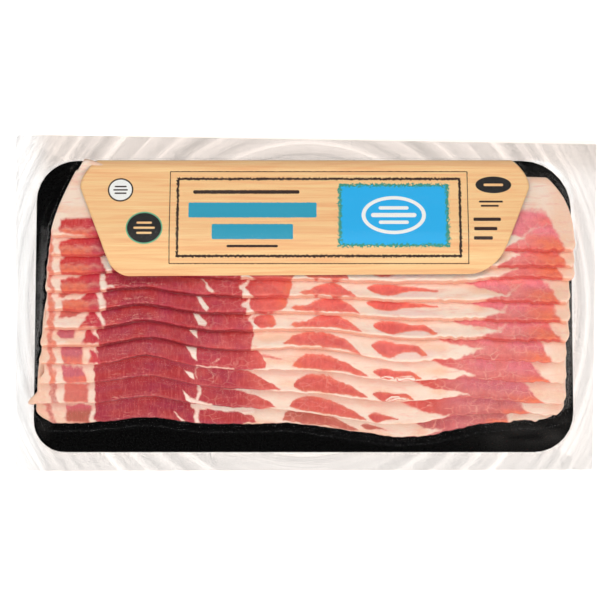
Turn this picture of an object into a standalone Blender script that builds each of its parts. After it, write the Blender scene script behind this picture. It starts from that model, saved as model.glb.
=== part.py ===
"""Vacuum pack of sliced bacon: eleven slices shingled on a black backing board, with a
printed label flap folded over them, between two webs of clear film sealed round the edge.

Metres, +Z up. X runs along the slices, and +Y is the side where the label flap is folded.
The origin is the middle of the pouch's footprint, on the surface that the pack lies on.
"""

import math
import random
from functools import lru_cache

import bmesh
import bpy

MM = 0.001

# Clear film pouch: its left side is cut a little deeper than its right side
POUCH_HALF_LENGTH = 137.5 * MM
POUCH_HALF_DEPTH_LEFT = 80.6 * MM
POUCH_HALF_DEPTH_RIGHT = 78.0 * MM
POUCH_CORNER_RADIUS = 2.0 * MM
FILM_THICKNESS = 0.3 * MM
GAP = 0.3 * MM

# Backing board: (x, y, corner radius), front left first and anticlockwise from above
BOARD_CORNERS = (
    (-128.9 * MM, -69.6 * MM, 15.0 * MM),
    (126.6 * MM, -69.6 * MM, 19.0 * MM),
    (124.9 * MM, 68.1 * MM, 23.0 * MM),
    (-127.0 * MM, 68.1 * MM, 19.0 * MM),
)
BOARD_THICKNESS = 0.6 * MM
BOARD_BOTTOM = FILM_THICKNESS + GAP
BOARD_TOP = BOARD_BOTTOM + BOARD_THICKNESS

# Shingled slices, counted from the front one, which lies flat on the board
SLICE_COUNT = 11
SLICE_THICKNESS = 3.65 * MM
LAYER_RISE = 4.5 * MM
FRONT_LINE = -56.3 * MM
PITCH_MIDDLE = 8.47 * MM
PITCH_NARROWING = 0.0028
WIDTH_MIDDLE = 33.6 * MM
WIDTH_LOSS_LEFT = 4.6 * MM
WIDTH_LOSS_SPREAD = 30.0 * MM
TAIL_LAYERS = 0.38
DROOP = 0.4
SLICE_BASE = BOARD_TOP + GAP
LEFT_END = -127.0 * MM
LEFT_END_STEP = 0.75 * MM
RIGHT_END = 121.0 * MM
RIGHT_END_STEP = 0.35 * MM
END_UNEVENNESS = 0.7 * MM
FRONT_ROUNDING = 6.0 * MM
FRONT_ROUNDED_PART = 0.25
BACK_ROUNDING = 4.0 * MM
OVERHANGING_SLICE = 1
OVERHANG = 3.6 * MM
FRONT_SLICE_SHORTER = 3.6 * MM
TOP_SLICE_LEFT_CUT = 15.0 * MM
TOP_SLICE_RIGHT_CUT = 12.0 * MM

# Where slices lie off their even pitch: x, slice, shift in y, reach in x, reach in slices
SHIFTS = (
    (115.0 * MM, 2.0, -5.2 * MM, 45.0 * MM, 1.4),
    (10.0 * MM, 4.5, 2.9 * MM, 50.0 * MM, 2.2),
    (-115.0 * MM, 2.5, 2.0 * MM, 45.0 * MM, 1.8),
    (52.0 * MM, 0.0, -4.2 * MM, 22.0 * MM, 1.2),
    (-80.0 * MM, 4.0, 2.4 * MM, 16.0 * MM, 8.0),
    (-7.0 * MM, 0.0, 2.0 * MM, 18.0 * MM, 0.8),
)

# Label flap, narrowing from its shoulders to its lower edge
FLAP_THICKNESS = 0.6 * MM
FLAP_HALF_WIDTH = 106.0 * MM
FLAP_SHOULDER_Y = 55.0 * MM
FLAP_SHOULDER_CUT = 7.6 * MM
FLAP_TAPER = 0.41
FLAP_LOWER_Y = 13.9 * MM
FLAP_LOWER_TILT = 0.006
FLAP_RIGHT_SHORTER = 1.2 * MM
FLAP_CORNER_LEFT = 7.0 * MM
FLAP_CORNER_RIGHT = 12.0 * MM
FLAP_BEND_Y = 30.0 * MM
FLAP_FOOT_Y = 63.0 * MM
FLAP_FOOT_HEIGHT = 6.6 * MM
FLAP_FOLD_Y = 67.9 * MM

# Mesh stations
SLICE_COLUMNS = 18
SLICE_ROWS = (0.0, 0.1, 0.28, 0.55, 0.8, 1.0)
FLAP_COLUMNS = 12
FLAP_CORNER_ANGLES = (0.0, 20.0, 40.0, 62.0, 90.0)
FLAP_ROWS_ABOVE_CORNER = [FLAP_BEND_Y, 42.0 * MM, FLAP_SHOULDER_Y, 59.0 * MM, FLAP_FOOT_Y,
                          65.6 * MM, 67.2 * MM, FLAP_FOLD_Y]
FILM_COLUMNS = 16

# Upper web: how it steps down at each slice's front edge and tents at the ends
SEAM_HEIGHT = FILM_THICKNESS + GAP
FILM_OVER_BOARD = BOARD_TOP + 2.0 * GAP
FILM_REACH = 2.8 * MM
STEP_OVERHANG = 0.6 * MM
STEP_FOOT = 2.3 * MM
STEP_CREST = 0.6 * MM
SLICES_BEFORE_FLAP = 8
FILM_ROWS_OVER_FLAP = [y * MM for y in (18.0, 24.0, 30.0, 36.0, 42.0, 50.0, 58.0, 64.0, 69.3)]
FILM_CLEARING_X = 15.5 * MM
FILM_CLEARING_Y = 4.0 * MM

# Finishes: colour, roughness, alpha
FINISHES = {
    "film": ((0.93, 0.92, 0.91), 0.12, 0.18),
    "board": ((0.012, 0.012, 0.013), 0.35, 1.0),
    "label": ((0.95, 0.62, 0.33), 0.5, 1.0),
    "bacon": ((0.66, 0.14, 0.12), 0.4, 1.0),
}


def clear_scene():
    """Remove whatever the file holds."""
    for obj in list(bpy.data.objects):
        bpy.data.objects.remove(obj, do_unlink=True)


def finish(name):
    """A Principled material of one of the pack's finishes."""
    colour, roughness, alpha = FINISHES[name]
    material = bpy.data.materials.new(name)
    material.use_nodes = True
    shader = material.node_tree.nodes["Principled BSDF"]
    shader.inputs["Base Color"].default_value = (*colour, 1.0)
    shader.inputs["Roughness"].default_value = roughness
    shader.inputs["Metallic"].default_value = 0.0
    shader.inputs["Alpha"].default_value = alpha
    return material


def add_object(name, mesh_source, material, collection):
    """Turn a bmesh into a named object of the pack."""
    mesh = bpy.data.meshes.new(name)
    mesh_source.to_mesh(mesh)
    mesh_source.free()
    mesh.materials.append(material)
    obj = bpy.data.objects.new(name, mesh)
    collection.objects.link(obj)
    return obj


def thicken(obj, thickness):
    """Give an open surface its thickness, on the side that its normals point to."""
    solidify = obj.modifiers.new("thickness", "SOLIDIFY")
    solidify.thickness = thickness
    solidify.offset = 1.0
    solidify.use_even_offset = True
    for polygon in obj.data.polygons:
        polygon.use_smooth = True


def plate(name, corners, bottom, thickness, material, collection):
    """A flat plate with a rounded corner at each (x, y, radius)."""
    bm = bmesh.new()
    face = bm.faces.new([bm.verts.new((x, y, bottom)) for x, y, _ in corners])
    raised = bmesh.ops.extrude_face_region(bm, geom=[face])
    top = [item for item in raised["geom"] if isinstance(item, bmesh.types.BMVert)]
    bmesh.ops.translate(bm, verts=top, vec=(0.0, 0.0, thickness))
    bmesh.ops.recalc_face_normals(bm, faces=bm.faces)
    for x, y, radius in corners:
        upright = [
            edge for edge in bm.edges
            if all(math.hypot(v.co.x - x, v.co.y - y) < GAP for v in edge.verts)
        ]
        bmesh.ops.bevel(bm, geom=upright, offset=radius, offset_type="OFFSET", segments=7,
                        profile=0.5, affect="EDGES", material=-1)
    return add_object(name, bm, material, collection)


def curved_grid(columns, rows, place):
    """A grid of columns by rows whose points are moved to place(column, row)."""
    bm = bmesh.new()
    bmesh.ops.create_grid(bm, x_segments=columns, y_segments=rows, size=1.0)
    for vert in bm.verts:
        column = round((vert.co.x + 1.0) / 2.0 * columns)
        row = round((vert.co.y + 1.0) / 2.0 * rows)
        vert.co = place(column, row)
    bmesh.ops.recalc_face_normals(bm, faces=bm.faces)
    if sum(face.normal.z for face in bm.faces) < 0.0:
        bmesh.ops.reverse_faces(bm, faces=bm.faces)
    return bm


def bump(value, centre, reach):
    """A smooth hump of height 1 at its centre."""
    return math.exp(-((value - centre) / reach) ** 2)


def pitch(x):
    """Distance in y from one slice's front edge to the next one's."""
    return PITCH_MIDDLE - PITCH_NARROWING * x


def front_edge(index, x):
    """y of a slice's front edge."""
    shift = sum(
        amount * bump(x, at_x, reach_x) * bump(index, at_slice, reach_slices)
        for at_x, at_slice, amount, reach_x, reach_slices in SHIFTS
    )
    return FRONT_LINE + index * pitch(x) + shift


def width(x):
    """Width in y that a slice covers, less towards the left end."""
    return WIDTH_MIDDLE - WIDTH_LOSS_LEFT * bump(x, LEFT_END, WIDTH_LOSS_SPREAD)


def layers_beneath(index, x, y):
    """How many slices' thickness carry a slice at a point.

    A slice covers those before it and comes down to the board behind their back edges. Two
    neighbours are always one layer apart, so that they never meet.
    """
    board_line = FRONT_LINE + width(x) - TAIL_LAYERS * pitch(x)
    reach = (board_line - y) / pitch(x)
    if reach >= 0.0:
        return float(index)
    slope = DROOP * (1.0 - math.exp(reach / DROOP))
    return max(0.0, index + reach + slope)


def back_edge(index, x):
    """y of a slice's back edge, where it comes down on the board."""
    tail = TAIL_LAYERS if index else 0.0
    return FRONT_LINE + width(x) + (index + tail - TAIL_LAYERS) * pitch(x)


@lru_cache(maxsize=None)
def square_ends(index):
    """x of a slice's two ends before its corners are rounded."""
    chance = random.Random(index)
    left = LEFT_END + LEFT_END_STEP * index + chance.uniform(-1.0, 1.0) * END_UNEVENNESS
    right = RIGHT_END + RIGHT_END_STEP * index + chance.uniform(-1.0, 1.0) * END_UNEVENNESS
    if index == OVERHANGING_SLICE:
        left -= OVERHANG
    if index == 0:
        left += FRONT_SLICE_SHORTER
        right -= FRONT_SLICE_SHORTER
    return left, right


def slice_ends(index, across):
    """x of a slice's two ends, at a place across it from 0, the front, to 1, the back."""
    left, right = square_ends(index)
    front = FRONT_ROUNDING * max(0.0, 1.0 - across / FRONT_ROUNDED_PART) ** 2
    if index == SLICE_COUNT - 1:
        back_left = TOP_SLICE_LEFT_CUT * across
        back_right = TOP_SLICE_RIGHT_CUT * across ** 3
    else:
        back_left = back_right = BACK_ROUNDING * across ** 4
    return left + front + back_left, right - front - back_right


def slice_point(index, along, across):
    """A point of a slice's underside."""
    left, right = slice_ends(index, across)
    x = left + (right - left) * along
    y = front_edge(index, x) + (back_edge(index, x) - front_edge(index, x)) * across
    return x, y, SLICE_BASE + LAYER_RISE * layers_beneath(index, x, y)


def bacon_slice(index, material, collection):
    """One slice: a thin slab that follows the slices beneath it."""
    rows = len(SLICE_ROWS) - 1
    bm = curved_grid(
        SLICE_COLUMNS, rows,
        lambda column, row: slice_point(index, column / SLICE_COLUMNS, SLICE_ROWS[row]),
    )
    obj = add_object(f"slice_{index + 1:02d}", bm, material, collection)
    thicken(obj, SLICE_THICKNESS)
    return obj


def slices_top(x, y):
    """Height of the uppermost slice over a point, or None where there is none."""
    for index in reversed(range(SLICE_COUNT)):
        if not front_edge(index, x) <= y <= back_edge(index, x) + SLICE_THICKNESS:
            continue
        across = (y - front_edge(index, x)) / (back_edge(index, x) - front_edge(index, x))
        left, right = slice_ends(index, min(1.0, max(0.0, across)))
        if left <= x <= right:
            return slice_top(index, x, y)
    return None


def flap_plateau():
    """Height of the flap's underside where it lies over the shingle's highest edges."""
    highest = SLICE_COUNT - 1
    crest = layers_beneath(highest, 0.0, front_edge(highest, 0.0))
    return SLICE_BASE + LAYER_RISE * (crest + 1.0)


def flap_height(y):
    """Height of the flap's underside: level in front, then down to the fold."""
    plateau = flap_plateau()
    if y <= FLAP_BEND_Y:
        return plateau
    if y <= FLAP_FOOT_Y:
        fall = (y - FLAP_BEND_Y) / (FLAP_FOOT_Y - FLAP_BEND_Y)
        return plateau + (FLAP_FOOT_HEIGHT - plateau) * fall
    fall = (y - FLAP_FOOT_Y) / (FLAP_FOLD_Y - FLAP_FOOT_Y)
    return FLAP_FOOT_HEIGHT + (BOARD_TOP + GAP - FLAP_FOOT_HEIGHT) * fall ** 1.6


def flap_inset(y, corner_radius):
    """How far the flap's side stands in from its widest place."""
    shoulder = max(0.0, y - FLAP_SHOULDER_Y) / (FLAP_FOLD_Y - FLAP_SHOULDER_Y)
    taper = FLAP_TAPER * max(0.0, FLAP_SHOULDER_Y - y)
    above_corner = corner_radius - min(corner_radius, max(0.0, y - FLAP_LOWER_Y))
    corner = corner_radius - math.sqrt(corner_radius ** 2 - above_corner ** 2)
    return FLAP_SHOULDER_CUT * shoulder ** 2 + taper + corner


def flap_sides(y):
    """x of the flap's left and right side."""
    left = -FLAP_HALF_WIDTH + flap_inset(y, FLAP_CORNER_LEFT)
    right = FLAP_HALF_WIDTH - FLAP_RIGHT_SHORTER - flap_inset(y, FLAP_CORNER_RIGHT)
    return left, right


def flap_rows():
    """y of the flap's mesh rows, closer at its corners, its bend and its fold."""
    corner = [FLAP_LOWER_Y + FLAP_CORNER_RIGHT * (1.0 - math.cos(math.radians(angle)))
              for angle in FLAP_CORNER_ANGLES]
    return corner + FLAP_ROWS_ABOVE_CORNER


def label_flap(material, collection):
    """The printed flap, which comes up from the board's edge and over the slices."""
    stations = flap_rows()

    def place(column, row):
        y = stations[row]
        left, right = flap_sides(y)
        x = left + (right - left) * column / FLAP_COLUMNS
        tilt = FLAP_LOWER_TILT * x if row < len(FLAP_CORNER_ANGLES) else 0.0
        return x, y + tilt, flap_height(y)

    obj = add_object("label_flap", curved_grid(FLAP_COLUMNS, len(stations) - 1, place),
                     material, collection)
    thicken(obj, FLAP_THICKNESS)
    return obj


def flap_top(x, y):
    """Height of the flap's upper face over a point, or 0 where the flap doesn't reach."""
    if not FLAP_LOWER_Y - MM <= y <= FLAP_FOLD_Y + FLAP_THICKNESS:
        return 0.0
    left, right = flap_sides(min(y, FLAP_FOLD_Y))
    if not left <= x <= right:
        return 0.0
    return flap_height(min(y, FLAP_FOLD_Y)) + 1.3 * FLAP_THICKNESS


def drape_height(x, y, reach_x, reach_y):
    """Height of the upper web round the flap: it clears all that lies within its reach."""
    heights = [BOARD_TOP]
    for step_x in (-1.0, -0.5, 0.0, 0.5, 1.0):
        for step_y in (-1.0, -0.5, 0.0, 0.5, 1.0):
            place = x + step_x * reach_x, y + step_y * reach_y
            heights += [slices_top(*place) or 0.0, flap_top(*place)]
    return max(heights) + GAP


def slice_top(index, x, y):
    """Height at which the upper web lies on a slice."""
    return SLICE_BASE + LAYER_RISE * (layers_beneath(index, x, y) + 1.0)


def rim_y(x):
    """y of the pouch's back edge."""
    rightward = (x + POUCH_HALF_LENGTH) / (2.0 * POUCH_HALF_LENGTH)
    return POUCH_HALF_DEPTH_LEFT + (POUCH_HALF_DEPTH_RIGHT - POUCH_HALF_DEPTH_LEFT) * rightward


@lru_cache(maxsize=None)
def film_profile(x):
    """The upper web from front to back at x: (y, z, uppermost slice there) for each row."""
    board_front = BOARD_CORNERS[0][1]
    first = front_edge(0, x)
    rows = [
        (-rim_y(x), SEAM_HEIGHT, 0),
        (board_front - FILM_REACH, SEAM_HEIGHT, 0),
        (board_front - GAP, FILM_OVER_BOARD, 0),
        (first - FILM_REACH, FILM_OVER_BOARD, 0),
        (first - STEP_OVERHANG, slice_top(0, x, first), 0),
    ]
    for index in range(1, SLICES_BEFORE_FLAP):
        foot = front_edge(index, x) - STEP_FOOT
        crest = front_edge(index, x) - STEP_CREST
        rows.append((foot, slice_top(index - 1, x, foot), index))
        rows.append((crest, slice_top(index, x, crest), index))
    last = SLICES_BEFORE_FLAP - 1
    tent = min(front_edge(SLICES_BEFORE_FLAP, x), FLAP_LOWER_Y - MM)
    rows.append((tent - STEP_FOOT, slice_top(last, x, tent - STEP_FOOT), last))
    for y in [tent - STEP_CREST] + FILM_ROWS_OVER_FLAP:
        rows.append((y, drape_height(x, y, FILM_CLEARING_X, FILM_CLEARING_Y), SLICE_COUNT - 1))
    rows.append((FLAP_FOLD_Y + FILM_REACH + MM, SEAM_HEIGHT, SLICE_COUNT - 1))
    rows.append((rim_y(x), SEAM_HEIGHT, SLICE_COUNT - 1))
    return rows


def shingle_ends(index):
    """x of the outermost ends among a slice and those that it lies on."""
    beneath = range(max(0, index - 4), index + 1)
    return (min(slice_ends(i, 0.3)[0] for i in beneath),
            max(slice_ends(i, 0.3)[1] for i in beneath))


def film_columns(index):
    """x of the upper web's columns in a row, with the height that each keeps, 0 to 2."""
    left, right = shingle_ends(index)
    left, right = left - STEP_OVERHANG, right + STEP_OVERHANG
    steps = [left + (right - left) * i / FILM_COLUMNS for i in range(FILM_COLUMNS + 1)]
    sealed_left = FILM_REACH - POUCH_HALF_LENGTH
    sealed_right = POUCH_HALF_LENGTH - FILM_REACH - MM
    return (
        [(-POUCH_HALF_LENGTH, 0), (sealed_left, 0), (max(left - FILM_REACH, sealed_left + MM), 1)]
        + [(x, 2) for x in steps]
        + [(min(right + FILM_REACH, sealed_right - MM), 1), (sealed_right, 0), (POUCH_HALF_LENGTH, 0)]
    )


def film_front(material, collection):
    """The upper web, drawn down over the contents and sealed to the lower web."""

    def place(column, row):
        index = film_profile(0.0)[row][2]
        x, level = film_columns(index)[column]
        y, z, _ = film_profile(x)[row]
        return x, y, min(z, (SEAM_HEIGHT, FILM_OVER_BOARD, z)[level])

    rows = len(film_profile(0.0)) - 1
    columns = len(film_columns(0)) - 1
    obj = add_object("film_front", curved_grid(columns, rows, place), material, collection)
    thicken(obj, FILM_THICKNESS)
    return obj


def pouch_corners():
    """The pouch's outline as (x, y, radius), anticlockwise from above."""
    left, right = POUCH_HALF_DEPTH_LEFT, POUCH_HALF_DEPTH_RIGHT
    outline = ((-1, -left), (1, -right), (1, right), (-1, left))
    return [(side * POUCH_HALF_LENGTH, y, POUCH_CORNER_RADIUS) for side, y in outline]


def main():
    clear_scene()
    pack = bpy.data.collections.new("bacon_pack")
    bpy.context.scene.collection.children.link(pack)
    materials = {name: finish(name) for name in FINISHES}

    plate("film_back", pouch_corners(), 0.0, FILM_THICKNESS, materials["film"], pack)
    plate("board", BOARD_CORNERS, BOARD_BOTTOM, BOARD_THICKNESS, materials["board"], pack)
    for index in range(SLICE_COUNT):
        bacon_slice(index, materials["bacon"], pack)
    label_flap(materials["label"], pack)
    film_front(materials["film"], pack)


main()
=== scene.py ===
"""Looks of a vacuum pack of sliced bacon: marbled slices shingled on a black board, a
wood-printed label flap folded over them, and clear film drawn down over the lot.
"""

import math
import random

import bmesh
import bpy
import numpy as np
from bpy.props import FloatProperty, FloatVectorProperty, IntProperty, PointerProperty
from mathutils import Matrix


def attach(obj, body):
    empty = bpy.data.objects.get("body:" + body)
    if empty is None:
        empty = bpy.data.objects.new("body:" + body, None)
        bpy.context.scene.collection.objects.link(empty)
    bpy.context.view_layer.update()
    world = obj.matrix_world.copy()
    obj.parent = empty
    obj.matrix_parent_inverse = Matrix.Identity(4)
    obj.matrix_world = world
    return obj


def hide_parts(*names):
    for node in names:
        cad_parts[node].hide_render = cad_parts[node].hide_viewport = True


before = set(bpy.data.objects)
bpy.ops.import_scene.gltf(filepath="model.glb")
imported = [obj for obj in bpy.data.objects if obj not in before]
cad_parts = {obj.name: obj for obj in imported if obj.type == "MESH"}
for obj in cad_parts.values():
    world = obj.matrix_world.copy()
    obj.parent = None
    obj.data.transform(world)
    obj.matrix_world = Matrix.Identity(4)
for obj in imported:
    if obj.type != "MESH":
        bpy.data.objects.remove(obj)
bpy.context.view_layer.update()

bl_info = {
    "name": "Bacon Pack",
    "version": (1, 0, 0),
    "blender": (4, 5, 0),
    "location": "3D View > Sidebar > Pack",
    "description": "Builds the dressed pieces of a vacuum pack of sliced bacon",
    "category": "Object",
}

MM = 0.001

# Shingled slices, in millimetres, counted from the front one, as the solids have them
SLICE_COUNT = 11
SLICE_BASE = 1.5
LAYER_RISE = 4.5
FRONT_LINE = -56.3
PITCH_MIDDLE = 8.47
PITCH_NARROWING = 0.0028
WIDTH_MIDDLE = 33.6
WIDTH_LOSS_LEFT = 4.6
WIDTH_LOSS_SPREAD = 30.0
TAIL_LAYERS = 0.38
DROOP = 0.4
LEFT_END, LEFT_END_STEP = -127.0, 0.75
RIGHT_END, RIGHT_END_STEP = 121.0, 0.35
END_UNEVENNESS = 0.7
FRONT_ROUNDING, FRONT_ROUNDED_PART = 6.0, 0.25
BACK_ROUNDING = 4.0
OVERHANGING_SLICE, OVERHANG = 1, 3.6
FRONT_SLICE_SHORTER = 3.6
TOP_SLICE_LEFT_CUT, TOP_SLICE_RIGHT_CUT = 15.0, 12.0
SHIFTS = (
    (115.0, 2.0, -5.2, 45.0, 1.4),
    (10.0, 4.5, 2.9, 50.0, 2.2),
    (-115.0, 2.5, 2.0, 45.0, 1.8),
    (52.0, 0.0, -4.2, 22.0, 1.2),
    (-80.0, 4.0, 2.4, 16.0, 8.0),
    (-7.0, 0.0, 2.0, 18.0, 0.8),
)
# Smaller shifts of the cut slices alone, given in the same way
FINE_SHIFTS = (
    (14.0, 1.1, -3.3, 34.0, 1.5),
    (-66.0, 2.6, 1.7, 22.0, 2.6),
    (116.0, 4.2, -1.3, 40.0, 2.2),
    (-112.0, 5.5, 0.9, 26.0, 5.0),
    (42.0, 3.2, -4.4, 25.0, 2.7),
    (40.0, 1.0, -2.4, 28.0, 0.8),
    (-70.0, 4.0, 2.6, 15.0, 4.0),
    (108.0, 8.0, 4.0, 30.0, 0.75),
    (105.0, 0.0, 2.3, 30.0, 0.6),
)
# How much longer a slice's left end is, and how its front corners are cut: inset, depth
LEFT_LONGER = (4.4, 0.4, 1.2, 0.0, 0.0, 0.0, 0.0, 0.0, 0.0, 0.0, 0.0)
RIGHT_LONGER = (0.0, 0.0, 0.0, 0.0, 0.0, 0.0, 0.0, 0.6, 1.4, 1.6, 1.6)
LEFT_SWELLS = (0.0, 4.4, 3.3, 1.3, 0.9, 1.5, 0.8, 0.6, 0.6, 0.6, 0.0)
LEFT_CORNERS = ((8.4, 9.0), (0.6, 0.8), (1.2, 3.0))
RIGHT_CORNERS = ((9.0, 5.0), (4.0, 5.0), (2.4, 4.0))
EDGE_LEAN = 1.05
TOP_SLICE_LONGER, TOP_SLICE_LONGER_X, TOP_SLICE_LONGER_REACH = 7.0, -107.0, 13.0

# Label flap
FLAP_THICKNESS = 0.6
FLAP_HALF_WIDTH = 106.0
FLAP_SHOULDER_Y, FLAP_SHOULDER_CUT = 55.0, 7.6
FLAP_TAPER = 0.41
FLAP_LOWER_Y, FLAP_LOWER_TILT = 13.9, 0.006
FLAP_RIGHT_SHORTER = 1.2
FLAP_CORNER_LEFT, FLAP_CORNER_RIGHT = 7.0, 12.0
FLAP_BEND_Y = 30.0
FLAP_FOOT_Y, FLAP_FOOT_HEIGHT = 63.0, 6.6
FLAP_FOLD_Y = 67.9
FLAP_LANDING = 1.5

# Film pouch
POUCH_HALF_LENGTH = 137.5
POUCH_HALF_DEPTH_LEFT, POUCH_HALF_DEPTH_RIGHT = 80.6, 78.0
POUCH_CORNER_RADIUS = 2.0
SEAM_HEIGHT = 0.6
BOARD_TOP = 1.2
BOARD_LEFT, BOARD_RIGHT = -128.0, 125.8
BOARD_FRONT, BOARD_BACK = -69.6, 68.1
BOARD_CORNER = 19.0


# ---------------------------------------------------------------- small tools


def srgb(red, green, blue):
    """A screen colour of 0 to 255 as the linear light that shaders work in."""

    def linear(value):
        value /= 255.0
        return value / 12.92 if value <= 0.04045 else ((value + 0.055) / 1.055) ** 2.4

    return linear(red), linear(green), linear(blue)


def ramp(low, high, value):
    """0 on the low side, 1 on the high side, smooth in between."""
    share = np.clip((value - low) / (high - low), 0.0, 1.0)
    return share * share * (3.0 - 2.0 * share)


def blend(first, second, share):
    """Mix two colours, or two values, by a share from 0 to 1."""
    share = np.asarray(share)[..., None] if np.ndim(first) + np.ndim(second) else share
    return np.asarray(first) * (1.0 - share) + np.asarray(second) * share


def hump(value, centre, reach):
    """A smooth hump of height 1 at its centre."""
    return np.exp(-((value - centre) / reach) ** 2)


LATTICE_SIZE = 64
LATTICE = np.random.RandomState(11).uniform(-1.0, 1.0, (LATTICE_SIZE,) * 3)


def ripple(x, y, z=0.0):
    """Smooth noise from -1 to 1, with a feature about every unit of length."""
    x, y, z = np.broadcast_arrays(x, y, z)
    whole = [np.floor(c).astype(int) for c in (x, y, z)]
    part = [c - w for c, w in zip((x, y, z), whole)]
    part = [p * p * (3.0 - 2.0 * p) for p in part]
    total = np.zeros(x.shape)
    for corner in range(8):
        steps = [(corner >> axis) & 1 for axis in range(3)]
        weight = np.ones(x.shape)
        for step, p in zip(steps, part):
            weight = weight * (p if step else 1.0 - p)
        place = tuple((w + step) % LATTICE_SIZE for w, step in zip(whole, steps))
        total += weight * LATTICE[place]
    return total


def new_mesh_object(name, mesh):
    """Link a mesh into the scene as an object at the origin."""
    obj = bpy.data.objects.new(name, mesh)
    bpy.context.scene.collection.objects.link(obj)
    return obj


def set_attribute(mesh, name, values, kind="FLOAT"):
    """Store a value, or a colour, on every vertex."""
    layer = mesh.attributes.new(name, kind, "POINT")
    if kind == "FLOAT_COLOR":
        values = np.concatenate([values, np.ones((len(values), 1))], axis=1)
        layer.data.foreach_set("color", values.astype(np.float32).ravel())
    else:
        layer.data.foreach_set("value", np.asarray(values, np.float32))


def grid_mesh(name, columns, rows, place, attributes=None, welded=False):
    """A grid whose points go to place(column, row), in millimetres."""
    bm = bmesh.new()
    bmesh.ops.create_grid(bm, x_segments=columns, y_segments=rows, size=1.0)
    mesh = bpy.data.meshes.new(name)
    bm.to_mesh(mesh)
    bm.free()
    flat = np.empty(len(mesh.vertices) * 3)
    mesh.vertices.foreach_get("co", flat)
    flat = flat.reshape(-1, 3)
    column = np.rint((flat[:, 0] + 1.0) / 2.0 * columns).astype(int)
    row = np.rint((flat[:, 1] + 1.0) / 2.0 * rows).astype(int)
    points = place(column, row)
    mesh.vertices.foreach_set("co", (points * MM).ravel())
    for key, (values, kind) in (attributes(column, row, points) if attributes else {}).items():
        set_attribute(mesh, key, values, kind)
    bm = bmesh.new()
    bm.from_mesh(mesh)
    if welded:
        bmesh.ops.remove_doubles(bm, verts=bm.verts, dist=2e-6)
    bmesh.ops.recalc_face_normals(bm, faces=bm.faces)
    highest = max(bm.faces, key=lambda face: face.calc_center_median().z)
    if not welded and highest.normal.z < 0.0:
        bmesh.ops.reverse_faces(bm, faces=bm.faces)
    for face in bm.faces:
        face.smooth = True
    bm.to_mesh(mesh)
    bm.free()
    return mesh


def mesh_points(mesh):
    """A mesh's points in millimetres."""
    flat = np.empty(len(mesh.vertices) * 3)
    mesh.vertices.foreach_get("co", flat)
    return flat.reshape(-1, 3) / MM


def take_place(obj, slot, *nodes):
    """A finished piece rides on the pack's one body and stands for its solids."""
    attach(obj, "root")
    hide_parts(*nodes)


# ---------------------------------------------------------------- how the slices lie


def pitch(x):
    """Distance in y from one slice's front edge to the next one's."""
    return PITCH_MIDDLE - PITCH_NARROWING * x


def front_edge(index, x):
    """y of a slice's front edge."""
    shift = sum(
        amount * hump(x, at_x, reach_x) * hump(index, at_slice, reach_slices)
        for at_x, at_slice, amount, reach_x, reach_slices in SHIFTS
    )
    return FRONT_LINE + index * pitch(x) + shift


def width(x):
    """Width in y that a slice covers, less towards the left end."""
    return WIDTH_MIDDLE - WIDTH_LOSS_LEFT * hump(x, LEFT_END, WIDTH_LOSS_SPREAD)


def back_edge(index, x):
    """y of a slice's back edge, where it comes down on the board."""
    tail = TAIL_LAYERS if index else 0.0
    return FRONT_LINE + width(x) + (index + tail - TAIL_LAYERS) * pitch(x)


def layers_beneath(index, x, y):
    """How many slices' thickness carry a slice at a point."""
    board_line = FRONT_LINE + width(x) - TAIL_LAYERS * pitch(x)
    reach = (board_line - y) / pitch(x)
    slope = DROOP * (1.0 - np.exp(np.minimum(reach, 0.0) / DROOP))
    return np.where(reach >= 0.0, float(index), np.maximum(0.0, index + reach + slope))


def square_ends(index):
    """x of a slice's two ends before its corners are rounded."""
    chance = random.Random(index)
    left = LEFT_END + LEFT_END_STEP * index + chance.uniform(-1.0, 1.0) * END_UNEVENNESS
    right = RIGHT_END + RIGHT_END_STEP * index + chance.uniform(-1.0, 1.0) * END_UNEVENNESS
    if index == OVERHANGING_SLICE:
        left -= OVERHANG
    if index == 0:
        left += FRONT_SLICE_SHORTER
        right -= FRONT_SLICE_SHORTER
    return left, right


def slice_ends(index, across):
    """x of a slice's two ends, at a place across it from 0, the front, to 1, the back."""
    left, right = square_ends(index)
    left, right = left - LEFT_LONGER[index], right + RIGHT_LONGER[index]
    depth = across * WIDTH_MIDDLE
    front_left, front_right = (
        inset * np.maximum(0.0, 1.0 - depth / reach) ** 2
        for inset, reach in (corners[min(index, 2)] for corners in (LEFT_CORNERS, RIGHT_CORNERS))
    )
    front_left = front_left + LEFT_SWELLS[index] * ramp(1.0, 7.5, depth)
    front_right = front_right + 0.6 * ramp(1.0, 7.0, depth)
    if index == SLICE_COUNT - 1:
        back_left = TOP_SLICE_LEFT_CUT * across ** 1.6
        back_right = TOP_SLICE_RIGHT_CUT * across ** 3
    else:
        back_right = BACK_ROUNDING * across ** 4
        back_left = back_right + (9.0 * across ** 3 if index > SLICE_COUNT - 4 else 0.0)
    return left + front_left + back_left, right - front_right - back_right


def underside(index, x, y):
    """Height of a slice's underside."""
    return SLICE_BASE + LAYER_RISE * layers_beneath(index, x, y)


def underside_normal(index, x, y):
    """Upward normal of a slice's underside, as arrays of x, y and z."""
    step = 0.25
    slope_x = (underside(index, x + step, y) - underside(index, x - step, y)) / (2.0 * step)
    slope_y = (underside(index, x, y + step) - underside(index, x, y - step)) / (2.0 * step)
    length = np.sqrt(1.0 + slope_x ** 2 + slope_y ** 2)
    return -slope_x / length, -slope_y / length, 1.0 / length


# ---------------------------------------------------------------- marbling of the slices

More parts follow.
